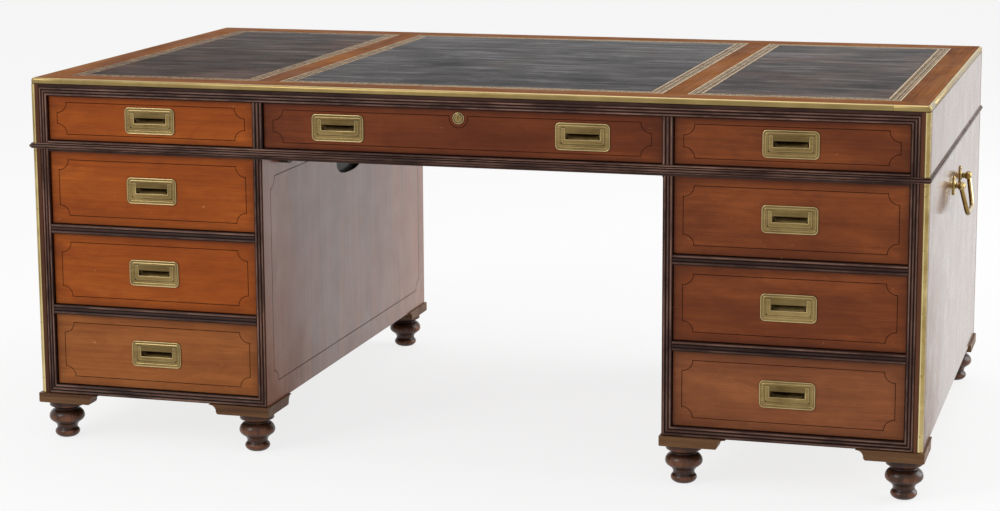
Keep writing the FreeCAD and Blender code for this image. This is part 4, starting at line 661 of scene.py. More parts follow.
LEG = 5.5  # the edging's visible upper leg
CORNER_ARM = 70.0  # a corner piece's arm, from the desk's corner to its joint
ARC_STEPS = 10
CORNER_POINTS = 3 + ARC_STEPS + 1 + 3  # two joints of three points and the arc between them

FIELD_X, FIELD_Y = 852.5, 463.0  # outer edges of the leathers' fields
BAR, BAR_HALF = 418.5, 23.0  # middle and half width of the bars between them
FIELDS = (-FIELD_X, -BAR - BAR_HALF), (BAR_HALF - BAR, BAR - BAR_HALF), (BAR + BAR_HALF, FIELD_X)
BAND = 29.0  # the brown band with the tooling


def heading(degrees):
    return Vector((math.cos(math.radians(degrees)), math.sin(math.radians(degrees))))


def ring_points(inset, joint):
    """Points round the desk's edge at an inset, with round corners and, on each side of a corner, the joint
    of the corner piece. joint is how far the joint's middle is sunk."""
    corner = max(10 - inset, 0.4)
    points = []
    for index, (sx, sy) in enumerate(CORNERS):
        start = -90 + 90 * index
        tip = Vector((sx * HALF_W, sy * HALF_D))
        centre = (sx * (HALF_W - inset - corner), sy * (HALF_D - inset - corner))
        first, last = [], []
        for slide, sunk in ((-0.5, 0.0), (0.0, joint), (0.5, 0.0)):
            deep = inset + sunk
            first.append(tip - heading(start + 90) * (CORNER_ARM - slide) - heading(start) * deep)
            last.append(tip + heading(start + 180) * (CORNER_ARM + slide) - heading(start + 90) * deep)
        points += [*first, *arc(centre, corner, start, 90, ARC_STEPS), *last]
    return points


def edging():
    """Brass round the top: a full nose above, a smaller one below, and fine joints at the corner pieces."""
    piece = Piece(edge_brass)
    low, high = EDGE_BASE, 756.0  # under and upper side of the edging's lower leg
    # Under the edging and round its lower nose the values darken towards the underside: dirt and painted shade.
    section = [(18.0, low, 0.0, 0.6), (2.5, low, 0.0, 0.6)]
    for step in range(1, 6):
        angle = math.pi / 2 * step / 5
        section.append((2.5 - 2.5 * math.sin(angle), 752.5 - 2.5 * math.cos(angle), 0.35, 0.9 - 0.12 * step))
    # Round the upper nose: a painted highlight over its top, darker lower down with dirt and painted shade.
    for step in range(9):
        angle = math.pi / 2 * step / 8
        rise = math.sin(angle)
        shade = 0.34 - 1.5 * max(rise - 0.35, 0) ** 1.3
        section.append((5 - 5 * math.cos(angle), 757 + 5 * rise, 0.35, shade))
    # Along the wood the edging's inner edge is darker, with dirt and painted shade, and its lip gets a painted
    # highlight.
    section += [(LEG - 0.3, TOP, 0.3, -0.2), (LEG, 761.7, 0.3, 0.6), (LEG, high, 0.0, 0.6),
                (18.0, high, 0.0, 0.6)]
    rings = []
    for inset, z, joint, shade in section:
        drop = joint if inset > 4 and z > high else 0.0
        ring = []
        for number, (x, y) in enumerate(ring_points(inset, joint)):
            at_joint = number % CORNER_POINTS in (1, CORNER_POINTS - 2) and inset <= LEG
            ring.append(piece.add((x, y, z - drop if at_joint else z), 1.0 if at_joint and joint else shade))
        rings.append(ring)
    piece.rings(rings, along=True)
    piece.build("top_brass_edging", "top", ["top_edge_brass"], "brass", sharp=50, weighted=False, weld=False)


def slab(piece, outline, low, high, edge, material):
    """A flat plate of any outline with eased upper edges. The outline runs anticlockwise."""
    lower, upper = ([piece.add((x, y, z)) for x, y in outline] for z in (low, high - edge))
    inset = []
    for spot, shift in zip(outline, inward(outline, 0.1)):
        x, y = Vector(spot) + shift * edge
        inset.append(piece.add((x, y, high)))
    piece.rings([lower, upper, inset], material)


def top_wood():
    """Border strips mitred at the corners, two bars between the leathers, and the core below them."""
    piece = Piece(top_x, top_y, carcase_wood)
    base, edge = 756.2, 0.35
    out_x, out_y = HALF_W - LEG - 0.2, HALF_D - LEG - 0.2
    strips = mitred(rectangle(-out_x, -out_y, out_x, out_y), rectangle(-FIELD_X, -FIELD_Y, FIELD_X, FIELD_Y))
    for number in (0, 2, 1, 3):
        slab(piece, strips[number], base, TOP, edge, number % 2)
    for x in (-BAR, BAR):
        slab(piece, rectangle(x - BAR_HALF, -FIELD_Y, x + BAR_HALF, FIELD_Y), base, TOP, edge, 1)
    piece.board((18 - HALF_W, 18 - HALF_D, 750), (HALF_W - 18, HALF_D - 18, 758), 0.2, 2)
    piece.build("top_border", "top", ["top_board"], "mahogany")


def leathers():
    """Three leathers in their sunk fields, a shade lower than the wood round them, each with a brown band
    along its edges for the tooling."""
    piece = Piece(leather_left, leather_centre, leather_right, leather_band)
    for index, (low, high) in enumerate(FIELDS):
        for inset, base, top, edge, material in ((0.4, 758, 761.6, 0.6, 3), (BAND, 760, 761.72, 0.1, index)):
            y = FIELD_Y - inset
            slab(piece, rectangle(low + inset, -y, high - inset, y), base, top, edge, material)
    piece.build("desk_leathers", "top", ["leather_panels"], "leather")


def tooling():
    """Gilt lines and small repeated ornaments along each leather's edge."""
    piece = Piece(gold)

    def face(*spots):
        piece.face([piece.add((x, y, 761.78)) for x, y in spots])

    def inset_field(low, high, inset):
        return low + inset, inset - FIELD_Y, high - inset, FIELD_Y - inset

    def frame_line(low, high, inset, width):
        outer, inner = (rectangle(*inset_field(low, high, depth)) for depth in (inset, inset + width))
        for quad in mitred(outer, inner):
            face(*quad)

    def lozenge(x, y, half_x, half_y):
        face((x - half_x, y), (x, y - half_y), (x + half_x, y), (x, y + half_y))

    def scroll(x, y, radius, facing, sweep, width):
        steps = 6
        for step in range(steps):
            spots = []
            for part, size in rectangle(step, radius, step + 1, radius - width):
                angle = facing + math.radians(sweep * (part / steps - 0.5))
                spots.append((x + size * math.cos(angle), y + size * math.sin(angle)))
            face(*spots)

    def run(low, high, inset, pitch, shape):
        """Repeats a shape along the four sides of a field."""
        x0, y0, x1, y1 = inset_field(low, high, inset)
        for start, finish, fixed, along_x, facing in (
            (x0, x1, y0, True, math.pi / 2), (x0, x1, y1, True, -math.pi / 2),
            (y0, y1, x0, False, 0.0), (y0, y1, x1, False, math.pi),
        ):
            count = int((finish - start) / pitch)
            step = (finish - start) / count
            for number in range(count + 1):
                spot = start + number * step
                shape(*((spot, fixed) if along_x else (fixed, spot)), facing, along_x, number)

    def bead(x, y, facing, along_x, number):
        if number % 2:
            lozenge(x, y, 2.4 if along_x else 1.3, 1.3 if along_x else 2.4)
        else:
            lozenge(x, y, 1.1, 1.1)

    def leaf(x, y, facing, along_x, number):
        a, b = math.cos(facing), math.sin(facing)
        scroll(x - 4.6 * a, y - 4.6 * b, 7.2, facing, 150, 1.7)
        scroll(x + 4.4 * a, y + 4.4 * b, 4.4, facing + math.pi, 200, 1.4)
        lozenge(x - 1.6 * a, y - 1.6 * b, 2.0, 2.0)

    for low, high in FIELDS:
        for inset, width in ((1.5, 2.2), (5.4, 0.7), (22.6, 0.7), (25.2, 2.2)):
            frame_line(low, high, inset, width)
        run(low, high, 8.4, 3.9, bead)
        run(low, high, 15.4, 13.4, leaf)
    piece.build("gilt_tooling_lines", "top", slot="leather", weighted=False, weld=False)


edging()
top_wood()
leathers()
tooling()


# ----------------------------------------------------------------------------------------------------------
# Cases


def hold_outline(half_y, half_z):
    """The hand hold's long oval, fuller than an ellipse."""
    return [(half_y * math.copysign(abs(a) ** 0.8, a), HOLD_Z + half_z * math.copysign(abs(b) ** 0.8, b))
            for a, b in circle(1, 56)]


def kneehole_board(piece, side, material, dark):
    """A pedestal's side at the kneehole with its hand hold."""
    face = side * KNEE
    corners = rectangle(-CASE_D, CASE_BASE, CASE_D, SPLIT)
    outline, rear = ([piece.add((x, y, z)) for y, z in corners] for x in (face, side * (KNEE + BOARD)))
    loops = []
    for grow, depth in ((1.6, 0.0), (0.4, 0.5), (0.0, 1.6), (0.0, 10.4), (-1.6, 12.0)):
        loops.append([piece.add((face + side * depth, y, z)) for y, z in hold_outline(86 + grow, 31 + grow)])
    piece.filled([outline, loops[0]], material)
    piece.rings(loops[:2], material, caps=False)
    # The hold's sides and back take the near-black wood: painted shade in the hollow.
    piece.rings(loops[1:], dark, caps=False)
    piece.face(loops[-1], dark)
    piece.rings([outline, rear], material, caps=False)
    piece.face(rear, material)


def pedestal_case(word, side):
    """One pedestal's carcase: sides, floor, dust boards, guides, lid and back panel."""
    piece = Piece(side_wood, knee_wood, carcase_wood, painted_shade_wood, back_wood)

    def board(near, far, y0, y1, z0, z1, edge=0.5, material=2):
        x0, x1 = sorted((side * (HALF_W - near), side * (HALF_W - far)))
        piece.board((x0, y0, z0), (x1, y1, z1), edge, material)

    board(0, BOARD, -CASE_D, CASE_D, CASE_BASE, SPLIT, 0.35, 0)
    kneehole_board(piece, side, 1, 3)
    for y0, y1 in ((-STRIP_D, -CASE_D), (CASE_D, STRIP_D)):
        board(KNEE_EDGE, CASE_WIDTH, y0, y1, CASE_BASE, SPLIT, 0.2, 1)
    board(BOARD, KNEE_IN, -CASE_D, CASE_D, CASE_BASE, FLOOR_TOP)
    board(REED_IN, KNEE_IN, CASE_D, PANEL_D, FLOOR_TOP, SPLIT, 0.5, 4)
    for base in SHELVES:
        board(BOARD, KNEE_IN, -CASE_D, CASE_D, base - 12, base)
    for base in (FLOOR_TOP, *SHELVES):
        board(BOARD, REED_IN, -CASE_D, GUIDE_END, base, base + 30)
    board(BOARD, KNEE_IN, -496, CASE_D, 592, SPLIT)
    piece.build(f"{word}_pedestal_boards", "pedestals", [f"{word}_case"], "mahogany")


def top_case():
    """The top section's carcase."""
    piece = Piece(side_wood, carcase_wood, knee_wood, back_wood)
    inside, guide = HALF_W - BOARD, HALF_W - REED_IN

    def board(x0, x1, y0, y1, z0, z1, material, edge=0.4):
        x0, x1 = sorted((x0, x1))
        piece.board((x0, y0, z0), (x1, y1, z1), edge, material)

    for side in SIDES:
        board(side * HALF_W, side * inside, -CASE_D, CASE_D, SPLIT, EDGE_BASE, 0, 0.35)
        board(side * PARTITION_OUT, side * PARTITION_IN, -CASE_D, CASE_D, FRIEZE_LOW, CEILING, 1)
        board(side * inside, side * guide, -CASE_D, GUIDE_END, FRIEZE_LOW, FRIEZE_LOW + 30, 1)
        board(side * guide, side * PARTITION_OUT, CASE_D, PANEL_D, FRIEZE_LOW, FRIEZE_HIGH, 3)
    board(-inside, inside, -CASE_D, CASE_D, SPLIT, FRIEZE_LOW, 2)
    board(-inside, inside, -CASE_D, CASE_D, CEILING, EDGE_BASE, 1)
    board(-PARTITION_IN, PARTITION_IN, CASE_D, PANEL_D, FRIEZE_LOW, FRIEZE_HIGH, 3)
    piece.build("top_boards", "top", ["top_case"], "mahogany")


pedestal_case("left", -1)
pedestal_case("right", 1)
top_case()


# ----------------------------------------------------------------------------------------------------------
# Stringing


def notched(low_u, low_v, high_u, high_v, radius):
    """A line with a hollow quarter round and two small steps in each corner, anticlockwise from the lower
    left corner."""
    nib, steps = 3.6, 14
    reach = math.hypot(radius, nib)
    swing = math.degrees(math.atan2(nib, radius))
    points = []
    for centre, start in zip(rectangle(low_u, low_v, high_u, high_v), (90, 180, 270, 0)):
        first, last = arc(centre, radius, start, -90, 1)
        points += [first, *arc(centre, reach, start - swing, 2 * swing - 90, steps), last]
    return points


def ribbon(piece, points, width, place):
    """A flat closed line of one width, on the surface that place gives."""
    inner, outer = [], []
    for point, shift in zip(points, inward(points, 0.35)):
        here, half = Vector(point), shift * width / 2
        inner.append(piece.add(place(here + half)))
        outer.append(piece.add(place(here - half)))
    piece.rings([inner, outer], caps=False)


def back_place(spot):
    return spot.x, PANEL_D + 0.08, spot.y


def fixed_stringing():
    """The lines on the kneehole faces and on the back's panels."""
    panel = HALF_W - REED_IN
    piece = Piece(string_wood)
    for side in SIDES:
        ribbon(piece, notched(-482, 143, 482, 569, 24), 1.6,
               lambda spot, side=side: (side * (KNEE - 0.08), spot.x, spot.y))
        near, far = sorted((side * PARTITION_OUT, side * panel))
        ribbon(piece, notched(near + 20, 140, far - 20, 592, 24), 1.6, back_place)
    piece.build("pedestal_stringing", "pedestals", slot="dark_mahogany", weighted=False)
    piece = Piece(string_wood)
    for near, far in ((-panel, -PARTITION_OUT), (-PARTITION_IN, PARTITION_IN), (PARTITION_OUT, panel)):
        ribbon(piece, notched(near + 19, 647, far - 19, 713, 21), 1.5, back_place)
    piece.build("top_back_stringing", "top", slot="dark_mahogany", weighted=False)


fixed_stringing()


# ----------------------------------------------------------------------------------------------------------
# Drawers

FRONT_X, CENTRE_X, FRIEZE_Z = 223.5, 406.5, 45  # half widths of the fronts, half height of the frieze's
WELL_X, WELL_Z, WELL_DEPTH = 47, 20, 12  # the hole behind a handle plate: half sizes and depth


def outgrown(value, half):
    """Which way a point at a front's edge moves outwards, or 0 inside it."""
    return 1 if value > half - 1.5 else -1 if value < 1.5 - half else 0


def round_the_lock(points, string_top, lock_z):
    """Leads a stringing line under the lock's ring, which cuts through its upper side."""
    reach = 19.0
    drop = string_top - lock_z
    first = math.degrees(math.atan2(drop, math.sqrt(reach ** 2 - drop ** 2)))
    detour = arc((0, lock_z), reach, first, -(180 + 2 * first), 28)
    upper = max(range(len(points)), key=lambda i: (round(points[i][1], 3), points[i][0]))
    return points[:upper + 1] + detour + points[upper + 1:]


def drawer_front(name, x, z, half_x, half_z, handles, material, string):
    """A drawer front with its handle wells, and the dark stringing let into its face."""
    piece = Piece(material, carcase_wood)
    edge = 1.0
    well_sides = [handle + reach for handle, reach in product(handles, (-WELL_X, WELL_X))]
    xs = [-half_x + edge, *well_sides, half_x - edge]
    zs = [-half_z + edge, -WELL_Z, WELL_Z, half_z - edge]
    grid = [[piece.add((x + a, FRONT_FACE, z + b)) for b in zs] for a in xs]
    holes = range(1, len(xs) - 1, 2)
    for i, j in product(range(len(xs) - 1), range(3)):
        if i not in holes or j != 1:
            piece.face((grid[i][j], grid[i + 1][j], grid[i + 1][j + 1], grid[i][j + 1]))
    for i in holes:
        corners = rectangle(i, 1, i + 1, 2)
        deep = [piece.add((x + xs[a], FRONT_FACE + WELL_DEPTH, z + zs[b])) for a, b in corners]
        piece.rings([[grid[a][b] for a, b in corners], deep], caps=False)
        piece.face(deep)
    rim = [column[0] for column in grid] + grid[-1][1:] + [column[3] for column in grid[-2::-1]]
    rim += [grid[0][2], grid[0][1]]
    levels = [rim]
    for grow, depth in ((0.65, 0.12), (0.9, 0.45), (1.0, 1.0), (1.0, 20.0)):
        ring = []
        for number in rim:
            at = piece.points[number] / MM
            a, b = at.x - x, at.z - z
            ring.append(piece.add((x + a + grow * outgrown(a, half_x), FRONT_FACE + depth,
                                   z + b + grow * outgrown(b, half_z)), 0.6 if depth < 1 else 0.0))
        levels.append(ring)
    piece.rings(levels[:4], caps=False)
    piece.rings(levels[3:], 1, caps=False)
    piece.face(levels[-1], 1)
    piece.build(f"{name}_drawer_face", f"{name}_drawer", [f"{name}_drawer_front"], "mahogany")

    points = notched(*string, 21)
    if name == "centre_frieze":
        points = round_the_lock(points, string[3], LOCK_Z - z)
    lines = Piece(string_wood)
    ribbon(lines, points, 1.35, lambda spot: (x + spot.x, FRONT_FACE - 0.09, z + spot.y))
    lines.build(f"{name}_stringing", f"{name}_drawer", slot="dark_mahogany", weighted=False)


def round_rectangle(half_x, half_z, radius):
    points = []
    for index, (sx, sz) in enumerate(CORNERS):
        points += arc((sx * (half_x - radius), sz * (half_z - radius)), radius, -90 + 90 * index, 90, 8)
    return points


def handle_plates(name, x, z, handles):
    """Recessed handle plates: a raised rim, a fine inner ridge, the sinking for the bail and the finger
    well."""
    piece = Piece(handle_brass)
    bed_depth, well_x = 2.2, 33.2
    for handle in handles:
        middle = x + handle

        def loop(spots, depth, grime=0.0):
            return [piece.add((middle + a, FRONT_FACE + depth, z + b), grime) for a, b in spots]

        loops = []
        # The third numbers give painted highlights (below 0) on the rim's and the inner ridge's crests, and
        # dirt with painted shade (above 0) beside and under them.
        for inset, lift, grime in (
            (0.0, -0.3, 0.6), (0.0, 1.5, 0.4), (0.45, 2.2, 0.1), (1.3, 2.5, -0.8), (2.2, 2.25, -0.2),
            (2.8, 1.5, 0.3), (3.3, 1.2, 0.5), (4.4, 1.2, 0.05), (5.6, 1.2, 0.1), (6.0, 1.45, -0.3),
            (6.6, 1.75, -0.5), (7.2, 1.45, 0.2), (7.6, 1.1, 0.5), (8.4, 1.1, 0.1), (9.4, 1.1, 0.0),
        ):
            spots = round_rectangle(54.5 - inset, 27.25 - inset, max(9.5 - inset, 1.6))
            loops.append(loop(spots, -lift, grime))
        piece.rings(loops, caps=False)
        sinking = [(-42.9, -15.1), (42.9, -15.1), (42.9, 17.6), (34.1, 17.6), (34.1, 6.0), (-34.1, 6.0),
                   (-34.1, 17.6), (-42.9, 17.6)]
        # The bail's sinking darkens inwards: dirt and painted shade.
        mouth = loop(sinking, -1.1, 0.5)
        bed = loop(sinking, bed_depth, 1.0)
        piece.filled([loops[-1], mouth])
        piece.rings([mouth, bed], caps=False)
        grid = []
        for number in range(21):
            t = number / 10 - 1
            a = well_x * math.copysign(1 - (1 - abs(t)) ** 1.7, t)
            # A painted shadow at the finger well's left end.
            shade = 0.15 + 0.6 * math.exp(-((a + 27) / 9) ** 2)
            column = []
            for step in range(11):
                deep = 7.0 * math.sin(math.pi * step / 10) ** 0.55 * (1 - abs(a / well_x) ** 7) ** 0.5
                spot = middle + a, FRONT_FACE + bed_depth + deep, z - 15 + 2.095 * step
                column.append(piece.add(spot, shade))
            grid.append(column)
        piece.rings(grid, around=False)
        lip = [column[0] for column in grid] + grid[-1][1:]
        lip += [column[-1] for column in grid[-2::-1]] + grid[0][-2:0:-1]
        piece.filled([bed, lip])
        well = rectangle(-WELL_X, -WELL_Z, WELL_X, WELL_Z)
        back, skirt = loop(well, WELL_DEPTH), loop(well, 0.3)
        piece.rings([skirt, back], caps=False)
        piece.face(back)
        for a in (-50.6, 50.6):
            # Pivot heads darker at their edge: dirt and painted shade.
            piece.lathe([(0.0, -1.55, 0.0), (1.3, -1.5, 0.1), (1.75, -1.25, 0.9), (1.8, -1.0, 0.9)],
                        (middle + a, FRONT_FACE, z), 16, "Y")
    piece.build(f"{name}_handle_plates", f"{name}_drawer", [f"{name}_handle_plate"], "brass", sharp=32,
                weld=False)


def bail_shape(body_name, x, z):
    """A flush bail: a U of flat bar with rounded edges, and its two pins."""
    piece = Piece(handle_brass)
    outline = arc((38.3, -10.5), 4.2, -90, 90, 6) + [(42.5, 16.6), (34.5, 16.6), (34.5, -5.5)]
    outline += [(-a, b) for a, b in reversed(outline)]
    shifts = inward(outline, 0.3)
    levels = []
    # Painted highlights along the bail's rounded front edges; its sides and back darker with dirt and painted
    # shade.
    for inset, depth, grime in ((0.0, 1.9, 0.9), (0.0, -0.85, 0.4), (0.25, -1.3, -0.3), (0.75, -1.55, -0.5),
                                (1.5, -1.6, 0.0)):
        spots = [Vector(here) + shift * inset for here, shift in zip(outline, shifts)]
        levels.append([piece.add((x + a, FRONT_FACE + depth, z + b), grime) for a, b in spots])
    piece.rings(levels)
    pin_y, pin_z = FRONT_FACE - 0.3, z + 14.5
    for side in SIDES:
        piece.rings([[piece.add((x + side * reach, pin_y + a, pin_z + b)) for a, b in circle(0.7, 16)]
                     for reach in (41.0, 45.0)])
    piece.build(f"{body_name}_grip", body_name, [body_name], "brass")


def lock_parts():
    """The centre drawer's lock case with its ringed brass face, the key plug and the bolt."""
    piece = Piece(handle_brass)
    # Painted highlights on the rings' crests (below 0), and dirt with painted shade in the grooves and the
    # keyhole (above 0).
    profile = [(6.15, 8.0, 0.5), (6.15, -1.1, 1.0), (6.6, -1.6, 0.2), (7.3, -1.75, -0.8), (7.9, -1.4, 0.2),
               (8.3, -0.7, 1.0), (9.4, -0.7, 1.0), (9.8, -1.35, 0.2), (10.5, -1.8, -0.9), (11.2, -1.6, -0.7),
               (11.8, -0.9, 0.3), (12.0, 0.2, 0.9), (8.9, 0.3, 0.0), (8.9, 6.0, 0.0)]
    piece.lathe(profile, (0, FRONT_FACE, LOCK_Z), 56, "Y")
    piece.board((-30, -511, 685), (30, -497, 725), 0.5)
    piece.build("lock_escutcheon", "centre_frieze_drawer", ["lock_case"], "brass", sharp=45, weld=False)
    finish_node("lock_plug", handle_brass)
    finish_node("lock_bolt", lock_steel)


def pedestal_drawer(name, x, z, half_z, tone, string):
    """A drawer of one of the two pedestals, or the one above it."""
    drawer_front(name, x, z, FRONT_X, half_z, [0], tone, string)
    handle_plates(name, x, z, [0])
    bail_shape(f"{name}_drawer_bail", x, z)


PEDESTAL_X, STRING_X = 654.0, 205.7
OPENINGS = {"lower": (FLOOR_TOP, 150), "middle": (SHELVES[0], 150), "upper": (SHELVES[1], 152)}
for word, side, tone, low_tone in (("left", -1, front_left, front_left_low),
                                   ("right", 1, front_right, front_right_low)):
    x = side * PEDESTAL_X
    for storey, (base, height) in OPENINGS.items():
        half_z = height / 2 - 1
        pedestal_drawer(f"{word}_{storey}", x, base + height / 2, half_z,
                        low_tone if storey == "lower" else tone,
                        (-STRING_X, -half_z + 17, STRING_X, half_z - 17))
    pedestal_drawer(f"{word}_frieze", x, FRIEZE_MIDDLE, FRIEZE_Z, tone, (-STRING_X, -33, STRING_X, 32.6))

CENTRE_HANDLES = [-250, 250]
drawer_front("centre_frieze", 0, FRIEZE_MIDDLE, CENTRE_X, FRIEZE_Z, CENTRE_HANDLES, front_centre,
             (-387, -33.3, 386, 32.6))
handle_plates("centre_frieze", 0, FRIEZE_MIDDLE, CENTRE_HANDLES)
for word, x in zip(("left", "right"), CENTRE_HANDLES):
    bail_shape(f"centre_frieze_{word}_drawer_bail", x, FRIEZE_MIDDLE)
lock_parts()


# ----------------------------------------------------------------------------------------------------------
# Feet, brackets and small brass

FOOT_INSET = 38
# Below this height the corner brass gets a painted highlight that grows downwards.
LOW_HIGHLIGHT_TOP = 330  # the corner brass gets brighter from this height down
CARRY_REACH = 17  # the carrying handles' pivots, off the desk's side
CARRY_LEAN = math.radians(11)


def feet():
    """Turned feet: a low toe, a hollow neck, the main bulb over a ring, and a flared collar."""
    piece = Piece(turned_wood)
    # The third numbers make the toe's and the bulb's widest parts and the rings paler: worn wood and painted
    # highlights.
    keys = [
        (0, 0, 0), (15.6, 0, 0), (17.4, 0.6, 0.2), (20.4, 2.2, 0.2), (23.4, 4.8, 0.4), (25.3, 7.8, 0.8),
        (25.9, 10.6, 1.0), (25.4, 13.2, 0.8), (24.0, 15.6, 0.3), (22.6, 17.2, 0.0), (21.5, 18.6, 0.0),
        (21.0, 20.0, 0.1), (21.1, 22.4, 0.3), (22.1, 25.6, 0.3), (24.1, 28.8, 0.2), (26.6, 31.2, 0.2),
        (28.6, 32.4, 0.5), (29.3, 33.2, 0.6), (29.4, 33.7, 0.1), (31.2, 34.4, 0.0), (33.9, 36.6, 0.3),
        (36.0, 39.6, 0.9), (36.9, 42.6, 1.0), (36.9, 45.4, 0.9), (36.0, 49.4, 0.5), (33.8, 53.4, 0.3),
        (30.6, 56.8, 0.1), (27.4, 59.0, 0.0), (25.9, 59.6, 0.0), (25.1, 60.4, 0.0), (25.2, 61.6, 0.1),
        (26.4, 63.2, 0.2), (28.6, 65.0, 0.2), (31.6, 66.6, 0.3), (34.4, 67.5, 0.6), (35.4, 68.4, 0.8),
        (35.5, 70.0, 0.4), (35.2, 79.8, 0.1), (12, 79.9, 0), (12, 97.5, 0), (0, 97.5, 0),
    ]
    for side, end, u in product(SIDES, SIDES, (FOOT_INSET, CASE_WIDTH - FOOT_INSET)):
        piece.lathe(keys, (side * (HALF_W - u), end * (HALF_D - FOOT_INSET), 0), 56)
    piece.build("feet_turnings", "pedestals", ["turned_feet"], "turned_wood", sharp=62, weighted=False)


def corner_strips(name, body, node, low, high, heights):
    """Brass angles on upright corners, rounded outside, with a pin head at each of the heights."""
    piece = Piece(strip_brass)
    # The third numbers give a painted highlight line near the front edge (below 0) and dark lines at both edges
    # (above 0), with dirt and painted shade.
    section = [(10.0, 10.0, 0.6), (10.0, 0.35, 0.9), (9.6, 0.05, 0.5), (9.0, 0.0, -0.3), (8.3, 0.0, -0.8),
               (7.2, 0.05, -0.2)]
    for step in range(1, 12):
        angle = math.pi / 2 * step / 12
        section.append((8 - 8 * math.sin(angle), 8 - 8 * math.cos(angle), 0.1 + 0.25 * step / 12))
    section += [(0.0, 8.2, 0.3), (0.0, 9.5, 0.5), (0.2, 10.0, 0.9)]
    between = [(z, 0.0, 0.0) for z in (160, 240, LOW_HIGHLIGHT_TOP) if low < z < high]
    levels = [(low, 0.9, 0.3), (low + 0.4, 0.3, 0.0), (low + 3.0, 0.0, 0.0), *between,
              (high - 3.0, 0.0, 0.0), (high - 0.4, 0.3, 0.0), (high, 0.9, 0.3)]
    for side, end in product(SIDES, SIDES):
        rings = []
        for z, grime, sunk in levels:
            # A painted highlight that grows towards the bottom.
            low_highlight = 0.7 * max(0, 1 - z / LOW_HIGHLIGHT_TOP)
            rings.append([piece.add((side * (HALF_W - max(u, sunk)), end * (HALF_D - max(d, sunk)), z),
                                    max(shade, grime) if grime else shade - low_highlight)
                          for u, d, shade in section])
        piece.rings(rings)
        for z in heights:
            # Pin heads darker at their rim: dirt and painted shade.
            head = [(0.0, 0.12 * end, 0.3), (1.5, 0.08 * end, 0.4), (1.8, -0.1 * end, 1.0)]
            piece.lathe(head, (side * (HALF_W - 6.4), end * HALF_D, z), 14, "Y")
    piece.build(name, body, [node], "brass", sharp=35)


def turning(piece, profile, side, y, z, steps):
    """A turning that stands out from the desk's side. profile lists (radius, reach, shade)."""
    piece.rings([[piece.add((side * (HALF_W + reach), y + a, z + b), shade) for a, b in circle(radius, steps)]
                 for radius, reach, shade in profile])


def carrying_posts():
    """Back plates, collars and knuckles of the carrying handles."""
    piece = Piece(carry_brass)
    # The third numbers give painted highlights (below 0) on the collar's and knuckle's swells, and darker bands
    # (above 0) in their hollows and at their edges: dirt and painted shade.
    collar = [(0, 2.5, 0), (9.3, 2.5, 0.9), (9.5, 3.4, 0.2), (8.9, 4.4, -0.5), (7.2, 4.9, 0.0), (5.4, 5.6, 0.9),
              (5.1, 6.6, 0.6), (6.4, 7.4, -0.2), (6.5, 8.2, -0.2), (5.2, 9.0, 0.8), (4.7, 12.0, 0.3),
              (4.7, 14.0, 0.5)]
    half = [(0, 6, 0), (4.6, 6, 0.4), (5.6, 5.7, 0.0), (7.0, 4.6, -0.3), (7.8, 2.6, 0.0)]
    knuckle = [(radius, -reach, shade) for radius, reach, shade in half] + [(8.0, 0, -0.3)] + half[::-1]
    for side, y in product(SIDES, (-66, 66)):
        rings = []
        # The back plate is darker at its foot edge and has a painted highlight on its rounded rim.
        for depth, inset, shade in ((0, 0.2, 0.9), (1.6, 0.0, 0.5), (2.5, 0.5, -0.4), (3.0, 1.4, 0.0)):
            ring = []
            for a, b in circle(1, 48):
                waist = 1 - 0.22 * math.exp(-((abs(b) - 0.62) / 0.16) ** 2)
                ring.append(piece.add((side * (HALF_W + depth), y + (11 - inset) * a * waist,
                                       CARRY_Z + (20.5 - inset) * b), shade))
            rings.append(ring)
        piece.rings(rings)
        # Screw heads: a painted highlight in the middle and a darker rim.
        for b in (-15.5, 15.5):
            turning(piece, [(0.0, 4.0, -0.4), (1.6, 3.8, 0.0), (2.6, 2.9, 0.9)], side, y, CARRY_Z + b, 20)
        turning(piece, collar, side, y, CARRY_Z, 36)
        piece.lathe(knuckle, (side * (HALF_W + CARRY_REACH), y, CARRY_Z), 40, "Y")
    piece.build("carrying_handle_plates", "pedestals", ["carrying_handle_posts"], "brass", sharp=50)


